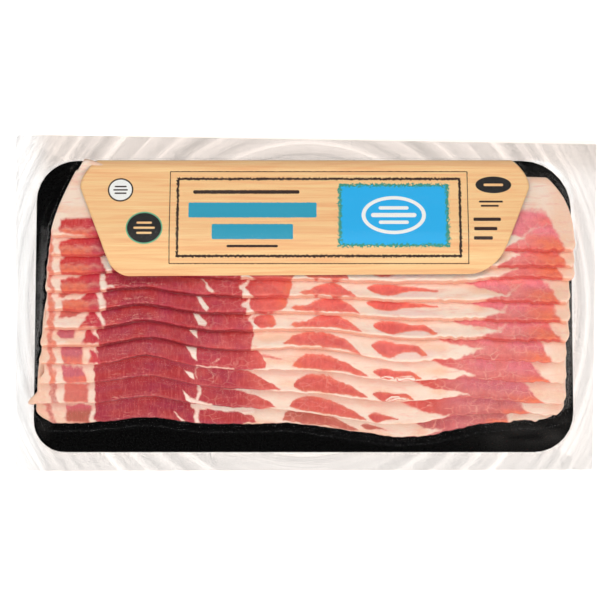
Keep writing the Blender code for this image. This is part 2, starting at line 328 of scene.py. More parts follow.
# Where the cut shows lean and fat, in millimetres: x along the slice, v back from its
# front edge. Each line gives one value per slice, the front slice first.
LENS_LEFT = (-11.7, -8.5, -6.3, -7.2, -11.2, -8.5, -8.0, -3.6, -1.0, 0.0, 0.0)
LENS_RIGHT = (25.1, 28.7, 28.9, 28.8, 25.4, 25.8, 24.8, 22.9, 20.0, 18.0, 18.0)
LENS_LOW = (0.6, 1.0, 1.2, 1.0, 0.6, 0.7, 0.5, 0.4, 0.4, 0.4, 0.4)
LENS_HIGH = (6.6, 7.4, 8.4, 7.2, 7.0, 6.6, 6.9, 6.0, 6.2, 6.0, 6.0)
LENS_PEAK = (0.22, 0.3, 0.25, 0.3, 0.42, 0.55, 0.6, 0.55, 0.6, 0.6, 0.6)
TONGUE_LEFT = (26.0, 29.2, 31.1, 31.3, 30.4, 31.3, 28.2, 28.2, 28.0, 28.0, 28.0)
TONGUE_RIGHT = (37.8, 43.4, 50.6, 54.0, 56.8, 61.2, 61.4, 61.8, 56.0, 50.0, 50.0)
TONGUE_LEVEL = (3.3, 3.0, 2.8, 3.3, 4.2, 4.1, 5.4, 4.4, 4.5, 5.0, 5.0)
TONGUE_THICK = (1.4, 2.1, 2.0, 2.3, 2.8, 2.7, 2.3, 2.5, 2.4, 2.0, 2.0)
WEDGE_TOP = (44.5, 44.0, 40.0, 53.4, 57.0, 64.0, 70.0, 73.0, 86.0, 93.0, 88.0)
WEDGE_LOW = (64.0, 67.0, 76.0, 79.4, 82.6, 90.7, 92.5, 95.5, 99.0, 101.0, 103.0)
WEDGE_LEVEL = (1.6, 1.0, 1.4, 1.8, 3.3, 3.2, 4.0, 2.6, 3.0, 4.5, 5.0)
RIND_TOP = (93.0, 97.6, 101.8, 104.6, 107.9, 111.6, 114.0, 110.7, 113.0, 116.0, 112.0)
RIND_LOW = (96.0, 104.5, 110.7, 114.4, 115.0, 118.6, 118.4, 118.6, 120.5, 121.0, 121.0)
LEAN_START = (-99.1, -98.6, -98.5, -97.2, -96.6, -94.4, -94.4, -93.4, -91.0, -90.0, -90.0)
LEAN_STOP = (-23.0, -14.0, -12.0, -19.6, -25.4, -24.8, -28.0, -29.2, -30.0, -30.0, -30.0)
# How far back the middle lean reaches in the front slices: x, then v, for each slice
WEDGE_HEIGHTS = (
    ((-58.0, -53.0, -50.0, -36.0, -26.0, -23.0), (14.0, 8.4, 6.6, 6.6, 4.0, 0.8)),
    ((-57.0, -52.0, -40.0, -27.3, -17.4, -14.0), (14.0, 10.0, 8.8, 7.0, 3.4, 0.6)),
    ((-56.0, -47.0, -32.8, -25.6, -12.9), (14.0, 9.6, 9.2, 7.8, 1.2)),
    ((-50.0, -26.1, -20.2, -19.0), (14.0, 10.0, 6.4, 4.0)),
)
# Straight-sided patches of lean near the left end, corner by corner, for each slice
LEFT_PATCHES = (
    (((-112.6, 8.5), (-101.8, 8.7), (-102.2, 0.3), (-113.0, 0.6)),),
    (((-113.0, 8.9), (-102.2, 9.1), (-102.8, 0.5), (-113.4, 0.8)),),
    (((-114.6, 7.6), (-104.2, 7.9), (-103.2, 0.3), (-112.8, 0.4)),),
    (((-114.4, 7.2), (-104.6, 7.7), (-105.2, 0.0), (-113.5, 0.0)),
     ((-100.2, 5.6), (-98.4, 5.0), (-96.4, 0.2), (-101.6, 0.3))),
    (((-115.9, 5.4), (-114.8, 7.9), (-108.4, 7.8), (-107.2, 6.0), (-108.6, 2.9), (-114.2, 2.8)),
     ((-102.2, 8.4), (-99.4, 8.4), (-96.2, 0.2), (-104.8, 0.4))),
    (((-115.2, 9.2), (-102.2, 9.4), (-108.8, 5.0), (-115.2, 4.5)),
     ((-99.6, 9.8), (-96.8, 9.6), (-94.2, 0.1), (-105.0, 0.4))),
    (((-113.6, 4.1), (-97.0, 4.2), (-95.0, -1.0), (-113.6, -1.0)),
     ((-105.4, 3.8), (-101.0, 9.6), (-97.4, 9.6), (-96.0, 3.8)),
     ((-115.6, 9.2), (-107.0, 9.2), (-112.6, 5.4), (-115.6, 5.5))),
    (((-114.0, 5.3), (-96.0, 6.2), (-95.0, -1.0), (-114.0, -1.0)),
     ((-106.4, 5.0), (-102.3, 9.8), (-96.2, 9.8), (-95.8, 5.0))),
    (((-114.4, 6.2), (-109.0, 9.6), (-93.5, 9.6), (-93.0, -1.0), (-114.4, -1.0)),),
    (((-114.5, 5.9), (-99.0, 9.9), (-92.0, 9.9), (-92.0, -1.0), (-114.5, -1.0)),),
    (((-114.6, 7.2), (-92.0, 8.6), (-92.0, -1.0), (-114.6, 1.0)),),
)
# White fat between lobes of lean, for each slice: patches corner by corner
WHITE_PATCHES = (
    (),
    (((-58.0, 5.8), (-54.8, 3.0), (-53.6, 0.2), (-56.4, 1.0)),),
    (((-57.4, 6.2), (-52.8, 5.4), (-52.4, 2.2), (-54.6, 3.0)),),
    (((-56.2, 8.0), (-51.2, 8.0), (-51.0, 2.8), (-53.4, 3.6)),),
    (((-56.0, 8.6), (-51.0, 7.6), (-50.4, 3.4), (-52.8, 5.0)),),
    (((-53.4, 8.2), (-50.0, 6.4), (-46.2, 3.2), (-46.8, 1.2), (-50.2, 1.4)),),
    (((-52.0, 8.2), (-49.2, 6.8), (-45.4, 2.2), (-46.2, 0.2), (-48.2, 1.4)),),
    (), (), (), (),
)
# ... and strokes: start, end, half widths at the two, sideways bow
WHITE_STROKES = (
    (((-62.0, 4.2), (-58.0, 0.0), (0.2, 0.9), 0.0), ((-51.3, 7.5), (-51.6, 0.0), (1.3, 1.1), 0.0),
     ((-53.5, 8.4), (-26.0, 6.4), (1.4, 1.5), 0.3)),
    (((-51.0, 10.6), (-39.5, 10.4), (0.9, 0.9), 0.0), ((-39.5, 10.4), (-27.0, 8.0), (0.8, 0.5), 0.0),
     ((-51.0, 10.5), (-51.4, 2.0), (1.0, 0.8), 1.0), ((-54.0, 1.4), (-45.0, 0.3), (1.1, 0.9), 0.0)),
    (((-51.6, 9.3), (-32.0, 10.3), (0.45, 0.5), 0.3), ((-51.5, 9.0), (-51.2, 3.2), (0.2, 0.15), -0.6),
     ((-45.6, 8.6), (-44.4, 2.4), (0.05, 0.1), 1.5), ((-29.0, 9.4), (-25.0, 9.4), (0.5, 1.0), 0.0)),
    (((-51.5, 0.6), (-34.0, 0.3), (0.3, 0.4), 0.3), ((-99.0, 8.2), (-96.9, 4.0), (0.5, 0.15), 0.0),
     ((-43.5, 3.0), (-40.5, 4.8), (0.1, 0.2), 0.0)),
    (((-99.6, 7.8), (-96.6, 2.6), (0.9, 0.25), 0.0),),
    (((-97.8, 9.0), (-94.0, 1.0), (1.15, 0.7), 0.0), ((-23.0, 9.0), (-26.2, 4.6), (0.4, 1.2), 0.4),
     ((-26.2, 4.6), (-24.2, 0.8), (1.2, 0.7), 0.5)),
    (((-97.0, 9.4), (-94.2, 0.6), (1.35, 1.1), 0.3), ((-24.2, 8.4), (-29.2, 3.6), (0.4, 1.3), 0.5),
     ((-29.2, 3.6), (-25.0, 0.4), (1.3, 0.8), 0.6)),
    (((-96.0, 9.4), (-94.0, 2.4), (0.9, 1.3), 0.0), ((-94.6, 1.6), (-90.4, 1.3), (1.2, 0.8), 0.0),
     ((-49.4, 7.2), (-43.9, 1.6), (0.2, 1.0), 0.0), ((-25.6, 8.4), (-30.2, 3.4), (0.4, 1.3), 0.5),
     ((-30.2, 3.4), (-26.6, 0.5), (1.3, 0.8), 0.5)),
    (((-94.6, 7.4), (-92.0, 0.6), (1.6, 1.4), 0.0), ((-49.4, 7.2), (-43.9, 1.6), (0.2, 1.0), 0.0),
     ((-25.6, 8.4), (-30.2, 3.4), (0.4, 1.2), 0.5)),
    (), (),
)


def stroke(x, v, start, end, widths, bow=0.0, soft=0.35):
    """A tapering line from start to end, bent sideways by bow at its middle."""
    run_x, run_v = end[0] - start[0], end[1] - start[1]
    length = math.hypot(run_x, run_v)
    share = np.clip(((x - start[0]) * run_x + (v - start[1]) * run_v) / length ** 2, 0.0, 1.0)
    aside = bow * 4.0 * share * (1.0 - share)
    middle_x = start[0] + run_x * share - run_v / length * aside
    middle_v = start[1] + run_v * share + run_x / length * aside
    half = widths[0] + (widths[1] - widths[0]) * share
    return ramp(half + soft, half - soft, np.hypot(x - middle_x, v - middle_v))


def facet(x, v, corners, soft=0.4):
    """A straight-sided patch whose corners are given in order, either way round."""
    centre_x, centre_v = (sum(values) / len(corners) for values in zip(*corners))
    inside = np.full(x.shape, 99.0)
    for (ax, av), (bx, bv) in zip(corners, (*corners[1:], corners[0])):
        length = math.hypot(bx - ax, bv - av)
        side = ((bx - ax) * (v - av) - (bv - av) * (x - ax)) / length
        turn = math.copysign(1.0, (bx - ax) * (centre_v - av) - (bv - av) * (centre_x - ax))
        inside = np.minimum(inside, side * turn)
    return ramp(-soft, soft, inside)


def most(masks, shape):
    """The strongest of several masks, none at all if there are none."""
    return np.maximum.reduce([np.zeros(shape), *masks])


def lens(index, x, v):
    """Depth inside a lens of coral lean: flat below, arched above, with a thin left tail."""
    left, right = LENS_LEFT[index], LENS_RIGHT[index]
    low, high, peak = LENS_LOW[index], LENS_HIGH[index], LENS_PEAK[index]
    share = np.clip((x - left) / (right - left), 0.0, 1.0)
    rising = np.sin(np.clip(share / peak, 0.0, 1.0) * math.pi / 2.0) ** 0.6
    if index > 4:
        rising = 0.36 * ramp(-0.04, 0.12, share) + 0.64 * ramp(0.5 * peak - 0.14, peak, share)
    falling = np.cos(np.clip((share - peak) / (1.0 - peak), 0.0, 1.0) * math.pi / 2.0)
    arch = np.where(share < peak, rising, falling ** 0.75)
    upper = low + (high - low) * arch
    lower = low + 0.9 * ramp(0.12, 0.0, share)
    return np.minimum(np.minimum(v - lower, upper - v), np.minimum(x - left, right - x))


def beyond(x, v, x_low, x_high, reach=8.5, soft=0.5):
    """What lies right of a slanting line that runs from x_low in front to x_high behind."""
    line = x_low + (x_high - x_low) * np.clip(v / reach, 0.0, 1.3)
    return ramp(-soft, soft, x - line)


def middle_lean(index, x, v):
    """The long lean from the left patch to the hooks or to the tip of its wedge."""
    start, stop = LEAN_START[index], LEAN_STOP[index]
    mask = beyond(x, v, start, start - 1.0) * (1.0 - beyond(x, v, stop, stop + 1.6))
    if index < len(WEDGE_HEIGHTS):
        mask = mask * ramp(-0.4, 0.4, np.interp(x, *WEDGE_HEIGHTS[index]) - v)
        mask = mask * ramp(-0.3, 0.4, v + 0.7 - 1.5 * ramp(stop - 14.0, stop, x))
    return mask


def lobe(index, x, v):
    """The coral lobe inside the hooks, only in the slices further back."""
    if index < 5:
        return np.zeros(x.shape)
    left = np.interp(index, (5, 6, 7), (-24.0, -27.0, -28.2))
    right = np.interp(index, (5, 6, 7, 8), (-13.6, -9.0, -6.6, -4.0))
    high = np.interp(index, (5, 6, 7), (6.2, 8.4, 9.4))
    low = np.interp(index, (5, 6, 7), (0.8, 0.0, -0.6))
    share = np.clip((x - left) / (right - left), 0.0, 1.0)
    round_end = np.sqrt(np.clip(1.0 - (2.0 * share - 1.0) ** 4, 0.0, 1.0))
    half = (high - low) / 2.0 * round_end
    across = ramp(-0.4, 0.4, half - np.abs(v - (high + low) / 2.0))
    return across * ramp(-0.4, 0.4, x - left) * ramp(right + 0.9, right - 1.3, x)


def right_lean(index, x, v):
    """Lean between the cream tongue and the rind of the right end."""
    reach = 17.0 if index == SLICE_COUNT - 1 else 8.5
    top, tip, level = WEDGE_TOP[index], WEDGE_LOW[index], WEDGE_LEVEL[index]
    full = (8.8, 8.8, 10.4, 10.4, 9.2, 8.2, 8.1, 8.2, 8.4, 8.8, 8.8)[index]
    rest = np.clip((tip - x) / (tip - top), 0.0, 1.2)
    upper = level + (full - level) * rest ** (1.1 if index < 4 else 1.4)
    lower = level * ramp(tip - 15.0, tip, x) ** 1.5 - 0.4
    cream = ramp(-0.6, 0.6, np.minimum(np.minimum(upper - v, v - lower), tip - x))
    begin = beyond(x, v, tip - 16.0, top) * (1.0 - cream)
    end = beyond(x, v, RIND_LOW[index], RIND_TOP[index], reach, 1.3)
    mask = begin * (1.0 - end)
    if index == SLICE_COUNT - 1:
        mask = np.maximum(mask, ramp(-0.5, 0.5, x - 92.0) * ramp(7.6, 8.4, v) * (1.0 - end))
        mask = mask * ramp(19.5, 14.5, v)
    feather = stroke(x, v, (tip - 1.0, level + 0.4), (tip + 6.0, level + 4.6), (0.9, 0.3), 0.4, 0.8)
    return mask * (1.0 - 0.62 * feather * (index > 4))


def tongue(index, x, v):
    """Depth inside the coral tongue right of the lens: blunt left, thin and hooked right."""
    left, right = TONGUE_LEFT[index], TONGUE_RIGHT[index]
    level, thick = TONGUE_LEVEL[index], TONGUE_THICK[index]
    share = np.clip((x - left) / (right - left), 0.0, 1.0)
    blunt = np.sqrt(np.clip(1.0 - (1.0 - np.clip(share / 0.16, 0.0, 1.0)) ** 2, 0.0, 1.0))
    belly = hump(share, 0.27, 0.2)
    hooked = 2 <= index <= 5
    tip = ramp(1.0, 0.9 if hooked else 0.55, share)
    upper = thick * (0.5 + 0.3 * belly) * blunt * (0.35 + 0.65 * tip)
    lower = thick * (0.32 + 0.88 * belly) * blunt * (0.25 + 0.75 * tip)
    middle = level - (2.4 if hooked else 0.5) * ramp(0.76, 1.0, share)
    return np.minimum(np.minimum(middle + upper - v, v - middle + lower), np.minimum(x - left, right - x))


def pale_slivers(index, x, v):
    """White slivers under the tongue of two slices, edged by a thin red line."""
    if index not in (2, 3):
        return np.zeros(x.shape), np.zeros(x.shape)
    slivers = {2: (((37.6, 0.9), (43.0, 2.4)), ((40.5, 0.6), (46.5, 1.2))),
               3: (((35.6, 1.0), (40.5, 1.6)), ((43.0, 0.9), (50.6, 0.9)))}[index]
    body = most([stroke(x, v, start, end, (0.3, 0.5), 0.5, 0.25) for start, end in slivers], x.shape)
    rim = most([stroke(x, v, start, end, (0.75, 0.85), 0.5, 0.25) for start, end in slivers], x.shape)
    return body, np.clip(rim - body, 0.0, 1.0)


def smoked_edge(index, x, v):
    """Orange smoke on lower edges: near the left rind and at the right end of the lean."""
    rind = np.interp(v, (0.0, 8.5), (RIND_LOW[index], RIND_TOP[index]))
    rise = (1.2, 1.6, 2.6, 3.0, 4.2, 6.0, 8.5, 6.0, 7.5, 8.0, 7.0)[index]
    right = ramp(rind - 17.0, rind - 5.0, x) * ramp(rind + 3.0, rind - 1.0, x) * ramp(rise + 1.0, 0.3 * rise, v)
    rise = (1.0, 1.6, 2.8, 2.6, 1.0, 1.2, 4.2, 3.6, 3.4, 3.2, 2.6)[index]
    left = ramp(-118.0, -112.0, x) * ramp(-97.0, -105.0, x) * ramp(rise + 0.9, rise - 0.9, v)
    left = left * (0.3 if index < 2 else 0.75)
    tail = hump(x, LENS_LEFT[index] + 2.0, 4.0) * ramp(5.0, 2.5, v) * (index > 2)
    tail = np.maximum(tail, hump(x, np.interp(index, (5, 6, 7), (-14.0, -9.6, -7.4)), 3.4) * (index > 4))
    hook = hump(x, TONGUE_RIGHT[index] - 1.5, 2.2) * ramp(5.0, 3.5, v) * (2 <= index <= 5)
    return np.clip(most([0.95 * right, left, 0.7 * tail, 0.7 * hook], x.shape), 0.0, 1.0)


def rind_streak(index, x, v):
    """The thin red line that runs just inside the left rind."""
    middle = -119.0 + 0.5 * np.sin(v * 0.8 + 2.0 * index)
    if index == 0:
        middle = -119.4 - 0.36 * v
    half = 0.9 + 0.3 * ramp(6.0, 1.0, v) + (0.4 if index < 2 else 0.0)
    if index == SLICE_COUNT - 1:
        middle = middle - 1.2 + 0.012 * np.maximum(v - 6.0, 0.0) ** 2
        return 0.6 * ramp(half + 1.0, half - 0.7, np.abs(x - middle)) * ramp(40.0, 24.0, v)
    return ramp(half + 0.7, half - 0.5, np.abs(x - middle)) * ramp(14.0, 10.0, v)


def left_tone(index, x, v, meat):
    """Colour of the lean patches near the left end."""
    tone = blend(meat.bright, meat.crimson, ramp(-107.0, -99.0, x))
    if index in (2, 3, 4):
        tone = blend(tone, meat.dusky, ramp(-102.8, -104.6, x))
    if index in (5, 6):
        tone = blend(tone, meat.salmon, 0.8 * ramp(4.4, 5.6, v) * ramp(-103.0, -107.0, x))
    if index > 5:
        tone = blend(tone, meat.blush, 0.55 * hump(v, 2.6 + 0.5 * np.sin(x), 1.0))
    if index == 1:
        tone = blend(tone, meat.salmon, 0.9)
    if index == 0:
        tone = blend(tone, blend(meat.dull, meat.dusky, ramp(4.5, 8.0, v)), 0.85)
    return tone


def meat_pattern(index, x, v):
    """Masks and colours of a slice's cut face at places x, v."""
    meat = bpy.context.scene.bacon_meat
    layer = index * 0.55
    restless = 1.0 + 0.4 * ramp(-94.0, -100.0, x) + 0.6 * ramp(60.0, 80.0, x)
    wx = x + restless * (0.7 * ripple(x / 4.0, v / 2.6, layer) + 0.4 * ripple(x / 1.5, v / 1.5, layer + 9.0))
    wv = v + restless * (0.45 * ripple(x / 4.6, v / 3.2, layer + 20.0)
                         + 0.3 * ripple(x / 1.6, v / 1.6, layer + 31.0))
    hx, hv = 0.5 * (x + wx), 0.5 * (v + wv)

    patch = most([facet(wx, wv, corners, 0.85) for corners in LEFT_PATCHES[index]], x.shape)
    middle = middle_lean(index, wx, wv)
    lobes, in_lens, in_tongue = lobe(index, wx, wv), lens(index, wx, wv), tongue(index, hx, hv)
    lenses, tongues = ramp(-0.4, 0.4, in_lens), ramp(-0.35, 0.35, in_tongue)
    right = right_lean(index, wx, wv)
    sliver, sliver_rim = pale_slivers(index, hx, hv)
    streak = rind_streak(index, wx, wv)
    strand = stroke(hx, hv, (-20.0, 6.0), (-11.5, 5.0), (0.6, 0.15)) * (index == 3)

    lean = most([patch, middle, lobes, lenses, tongues, right, 0.5 * streak, 0.8 * sliver_rim,
                 0.7 * strand], x.shape)
    white = most([facet(hx, hv, corners) for corners in WHITE_PATCHES[index]]
                 + [0.9 * stroke(wx, wv, *given, 0.6) for given in WHITE_STROKES[index]] + [sliver],
                 x.shape)
    lean = lean * (1.0 - white * (1.0 - lobes * ramp(-27.0, -25.0, x)))
    if index == SLICE_COUNT - 1:
        lean = lean * np.where(x < 0.0, ramp(9.5, 6.5, v), 1.0)

    # Tone of the lean from the dark left to the coral lobes and the rosy right end
    stations = (-92.0, -60.0, -48.0, -32.0, -20.0, 0.0, 60.0, 72.0, 100.0, 118.0)
    tones = (meat.dark, meat.dark, meat.rose, meat.rose, meat.coral, meat.coral, meat.coral,
             meat.rosy, meat.rosy, meat.coral)
    tone = np.stack([np.interp(x, stations, [t[channel] for t in tones]) for channel in range(3)], -1)
    darkness = 1.0 - 0.75 * ramp(-34.0, -15.0, x)
    drift = ripple(x / 13.0, v / 7.0, layer + 50.0)
    tone = blend(tone, meat.deep, 0.45 * darkness * ramp(0.0, 0.8, drift))
    tone = blend(tone, meat.coral, 0.32 * ramp(0.1, 0.9, -drift))
    plum = ripple(x / 6.0, v / 3.2, layer + 90.0)
    tone = blend(tone, meat.plum, 0.5 * ramp(0.0, 0.8, plum) * darkness)
    tone = blend(tone, meat.ember, 0.5 * ramp(0.0, 0.8, -plum) * darkness)
    inner = ripple(x / 5.0, v / 2.4, layer + 130.0) * ramp(-34.0, -20.0, x)
    tone = blend(tone, meat.ember, 0.3 * ramp(0.0, 0.7, inner) * (1.0 - ramp(60.0, 74.0, x)))
    rim = np.maximum(lenses * ramp(1.5, 0.1, in_lens), tongues * ramp(1.1, 0.1, in_tongue))
    tone = blend(tone, meat.amber, 0.65 * rim)
    rear = ramp(2.5, 6.5, v) * ramp(60.0, 76.0, x)
    tone = blend(tone, meat.mauve, 0.75 * rear * ramp(-0.7, 0.2, ripple(x / 7.0, v / 4.0, layer + 33.0)))
    tone = blend(tone, meat.ember, 0.4 * ramp(2.4, 0.6, v) * ramp(62.0, 84.0, x))
    tone = tone * np.interp(index, (0, 2, 3, 5, 8, 10), (0.74, 0.78, 0.87, 1.0, 1.0, 1.12))
    tone = tone * (1.0 + 0.1 * ramp(-30.0, -14.0, x) * ramp(64.0, 52.0, x))[:, None]
    tone = blend(tone, left_tone(index, x, v, meat), 0.9 * ramp(-94.0, -97.0, x) * ramp(0.0, 0.4, patch))
    # Painted light: lean lightened towards the back of what shows of each slice, to cancel the shade under the next
    # slice's edge
    tone = tone * (1.0 + 0.2 * ramp(5.0, 8.5, v) * (index < SLICE_COUNT - 1))[:, None]
    if index == 0:
        tone = blend(tone, meat.dull, 0.5 * ramp(-20.0, -10.0, x) * ramp(70.0, 60.0, x))
        tone = blend(tone, meat.dusky, 0.45 * ramp(44.0, 56.0, x) * ramp(84.0, 70.0, x))

    # Fat: cream, pinker beside lean and at the back of what shows, white in the nicks
    near_lean = np.clip(lean * (1.0 - lean) * 4.0, 0.0, 1.0)
    cream = blend(meat.cream, meat.peach, ramp(-0.2, 0.9, ripple(x / 9.0, v / 4.0, layer + 70.0)))
    ends = np.clip(ramp(-117.0, -124.0, x) + ramp(110.0, 119.0, x), 0.0, 1.0)
    cream = blend(cream, meat.peach, 0.7 * ends)
    back = (0.45 * ramp(4.5, 8.5, v) * (1.0 - ends) if index < SLICE_COUNT - 1
            else 0.8 * stroke(x, v, (-96.0, 10.0), (-91.0, 21.0), (1.0, 4.0), 0.0, 2.0))
    cream = blend(cream, meat.blush, back)
    cream = cream * np.interp(index, (0, 4), (0.9, 1.0))
    under_tongue = ramp(30.0, 36.0, x) * ramp(66.0, 54.0, x) * ramp(4.4, 3.0, v) * ramp(0.6, 1.4, v)
    cream = blend(cream, meat.veil, 0.55 * under_tongue * (index > 3))
    cream = blend(cream, meat.white, 0.75 * white)
    cream = blend(cream, meat.blush, 0.65 * near_lean)

    smoke = smoked_edge(index, wx, wv)
    smoke = smoke * np.clip(0.18 + lean, 0.0, 1.0)
    smoke = np.maximum(smoke, 0.75 * streak * (0.15 if index < 2 else 0.55 + 0.45 * ramp(6.0, 2.0, v)))
    net = (1.0 if index == 0 else 0.5) * lenses + right + 0.3 * lobes + middle * (0.12 + 0.35 * ramp(-52.0, -46.0, x))
    # Pale torn flecks in the lean's lower part, partly painted glints of the wet film
    torn = ramp(-118.0, -112.0, x) * ramp(-96.0, -100.0, x) * hump(v, 2.8, 1.6) * (index > 4)
    torn = np.maximum(torn, (0.9 if index > 4 else 0.5) * ramp(-96.0, -90.0, x)
                      * ramp(-60.0, -80.0, x) * ramp(4.6, 2.0, v))
    return {"lean": lean, "smoke": smoke, "net": np.clip(net, 0.0, 1.0), "torn": torn,
            "tone": tone, "cream": cream}


# ---------------------------------------------------------------- slices

EDGE_STEPS = (0.0, 0.03, 0.09, 0.18, 0.32, 0.52, 0.82, 1.25)


def edge_profile(depth, radius, fullness=2.8):
    """Share of the full thickness at a depth in from a rounded edge."""
    inward = np.clip(depth / radius, 0.0, 1.0)
    return (1.0 - (1.0 - inward) ** fullness) ** (1.0 / fullness)


def cross_rows(index, depth):
    """Stations round a slice's section: (distance back from the front edge, side)."""
    meat = bpy.context.scene.bacon_meat
    fine = depth if index == SLICE_COUNT - 1 else meat.fine_depth / MM
    step = meat.fine_step / MM
    inner = np.arange(1.8, fine, step)
    coarse = np.linspace(fine, depth - 2.0, max(2, round((depth - 2.0 - fine) / 3.0)))
    upper = list(EDGE_STEPS) + list(inner) + list(coarse[1:]) + [depth - s for s in reversed(EDGE_STEPS[:-1])]
    lower = list(EDGE_STEPS) + [2.0, 4.0] + list(np.linspace(7.0, depth - 2.0, 8)) + [depth - 0.6, depth]
    return ([(d, 1.0) for d in reversed([min(u, depth) for u in upper])]
            + [(min(d, depth), -1.0) for d in lower[1:]])


def slice_mesh(index):
    """One slice as a closed, rounded slab that follows the slices beneath it."""
    meat = bpy.context.scene.bacon_meat
    typical_depth = float(back_edge(index, 0.0) - front_edge(index, 0.0))
    rows = cross_rows(index, typical_depth)
    row_depth = np.array([d for d, _ in rows]) / typical_depth
    row_side = np.array([side for _, side in rows])
    left, right = square_ends(index)
    length = right - left
    even = int(length / (meat.fine_step / MM))
    ends = np.array(EDGE_STEPS) / length
    stations = np.concatenate([ends, np.linspace(ends[-1], 1.0 - ends[-1], even)[1:-1],
                               1.0 - ends[::-1]])
    half = meat.slice_thickness / MM / 2.0

    def places(column, row):
        across = row_depth[row]
        low, high = slice_ends(index, across)
        x = low + (high - low) * stations[column]
        front, back = front_edge(index, x), back_edge(index, x)
        if index == SLICE_COUNT - 1:
            back = back + TOP_SLICE_LONGER * hump(x, TOP_SLICE_LONGER_X, TOP_SLICE_LONGER_REACH)
        depth = (back - front) * across
        wave = 0.3 * ripple(x / 7.0, index * 3.7) + 0.2 * ripple(x / 2.3, index * 5.1, 4.0)
        wave = wave + 0.1 * ripple(x / 1.1, index * 2.3, 9.0)
        wave = wave + 0.5 * ripple(x / 2.4, index * 4.3, 14.0) * ramp(46.0, 72.0, x)
        shift = sum(
            amount * hump(x, at_x, reach_x) * hump(index, at_slice, reach_slices)
            for at_x, at_slice, amount, reach_x, reach_slices in FINE_SHIFTS
        )
        shift = shift - EDGE_LEAN * min(1.0, index / 4.0)
        y = front + depth + wave * ramp(4.0, 0.0, depth) + shift * ramp(16.0, 3.0, depth)
        from_end = np.minimum(x - low, high - x)
        return across, x, y, depth, back - front - depth, from_end

    def place(column, row):
        _, x, y, depth, from_back, from_end = places(column, row)
        side = row_side[row]
        share = edge_profile(depth, 1.15) * edge_profile(from_back, 1.5) * edge_profile(from_end, 1.5)
        nx, ny, nz = underside_normal(index, x, y)
        swell = 0.16 * ripple(x / 6.0, depth / 5.0, index * 0.8) + 0.07 * ripple(x / 1.7, depth / 1.9, index)
        pattern_lean = meat_pattern(index, x, depth)["lean"] if side.max() > 0 else 0.0
        swell = swell - 0.16 * (pattern_lean - 0.5)
        shown = ramp(10.5, 7.5, depth) if index < SLICE_COUNT - 1 else ramp(-40.0, -20.0, -np.abs(y - 90.0))
        lift = half + side * half * share + np.where(side > 0.0, swell * share * shown, 0.0)
        z = underside(index, x, y)
        return np.stack([x + nx * lift, y + ny * lift, z + nz * lift], -1)

    def attributes(column, row, points):
        _, x, _, depth, _, _ = places(column, row)
        masks = meat_pattern(index, x, depth)
        side = row_side[row]
        # Painted shade: the underside and the very front of each slice's rounded edge are marked for the dark crease
        # shadow
        crease = np.where(side < 0.0, 1.0, ramp(0.32, 0.05, depth))
        return {
            "lean": (masks["lean"], "FLOAT"),
            "smoke": (masks["smoke"], "FLOAT"),
            "net": (masks["net"], "FLOAT"),
            "torn": (masks["torn"], "FLOAT"),
            "crease": (crease, "FLOAT"),
            "tone": (masks["tone"], "FLOAT_COLOR"),
            "cream": (masks["cream"], "FLOAT_COLOR"),
        }

    return grid_mesh(f"slice_{index + 1:02d}_meat", len(stations) - 1, len(rows) - 1, place,
                     attributes, welded=True)


# ---------------------------------------------------------------- label flap


def flap_plateau():
    """Height of the flap's underside where it lies over the shingle's highest edges."""
    highest = SLICE_COUNT - 1
    crest = layers_beneath(highest, 0.0, front_edge(highest, 0.0))
    return SLICE_BASE + LAYER_RISE * (float(crest) + 1.0)


def flap_height(y):
    """Height of the flap's underside, its bends eased a little."""
    plateau = flap_plateau()
    fall = (y - FLAP_BEND_Y) / (FLAP_FOOT_Y - FLAP_BEND_Y)
    slope = plateau + (FLAP_FOOT_HEIGHT - plateau) * np.maximum(fall, 0.0)
    ease = 5.0
    near = np.clip(1.0 - np.abs(y - FLAP_BEND_Y) / ease, 0.0, 1.0)
    drop = (plateau - FLAP_FOOT_HEIGHT) / (FLAP_FOOT_Y - FLAP_BEND_Y)
    slope = slope - drop * ease / 4.0 * near ** 2
    foot = np.clip((y - FLAP_FOOT_Y) / (FLAP_FOLD_Y - FLAP_FOOT_Y), 0.0, 1.0)
    falling = FLAP_FOOT_HEIGHT + (FLAP_LANDING - FLAP_FOOT_HEIGHT) * foot ** 1.6
    return np.where(y <= FLAP_FOOT_Y, slope, falling)


def flap_inset(y, radius):
    """How far the flap's side stands in from its widest place."""
    shoulder = np.maximum(0.0, y - FLAP_SHOULDER_Y) / (FLAP_FOLD_Y - FLAP_SHOULDER_Y)
    taper = FLAP_TAPER * np.maximum(0.0, FLAP_SHOULDER_Y - y)
    above = radius - np.clip(y - FLAP_LOWER_Y, 0.0, radius)
    corner = radius - np.sqrt(np.maximum(0.0, radius ** 2 - above ** 2))
    return FLAP_SHOULDER_CUT * shoulder ** 2 + taper + corner


def flap_sides(y):
    """x of the flap's left and right side."""
    left = -FLAP_HALF_WIDTH + flap_inset(y, FLAP_CORNER_LEFT)
    right = FLAP_HALF_WIDTH - FLAP_RIGHT_SHORTER - flap_inset(y, FLAP_CORNER_RIGHT)
    return left, right


def flap_mesh():
    """The flap's printed sheet, closely divided where it bends and at its round corners."""
    corner = [FLAP_LOWER_Y + FLAP_CORNER_RIGHT * (1.0 - math.cos(math.radians(angle)))
              for angle in range(0, 91, 6)]
    rows = np.array(corner + list(np.linspace(26.4, FLAP_FOOT_Y, 54))[1:]
                    + list(np.linspace(FLAP_FOOT_Y, FLAP_FOLD_Y, 14))[1:])
    columns = 150

    def place(column, row):
        y = rows[row]
        left, right = flap_sides(y)
        x = left + (right - left) * column / columns
        tilt = FLAP_LOWER_TILT * x * ramp(30.0, 26.0, y)
        return np.stack([x, y + tilt, flap_height(y)], -1)

    return grid_mesh("label_flap_printed", columns, len(rows) - 1, place)


# ---------------------------------------------------------------- film

RASTER = 0.5
WEB_GAP = 0.06
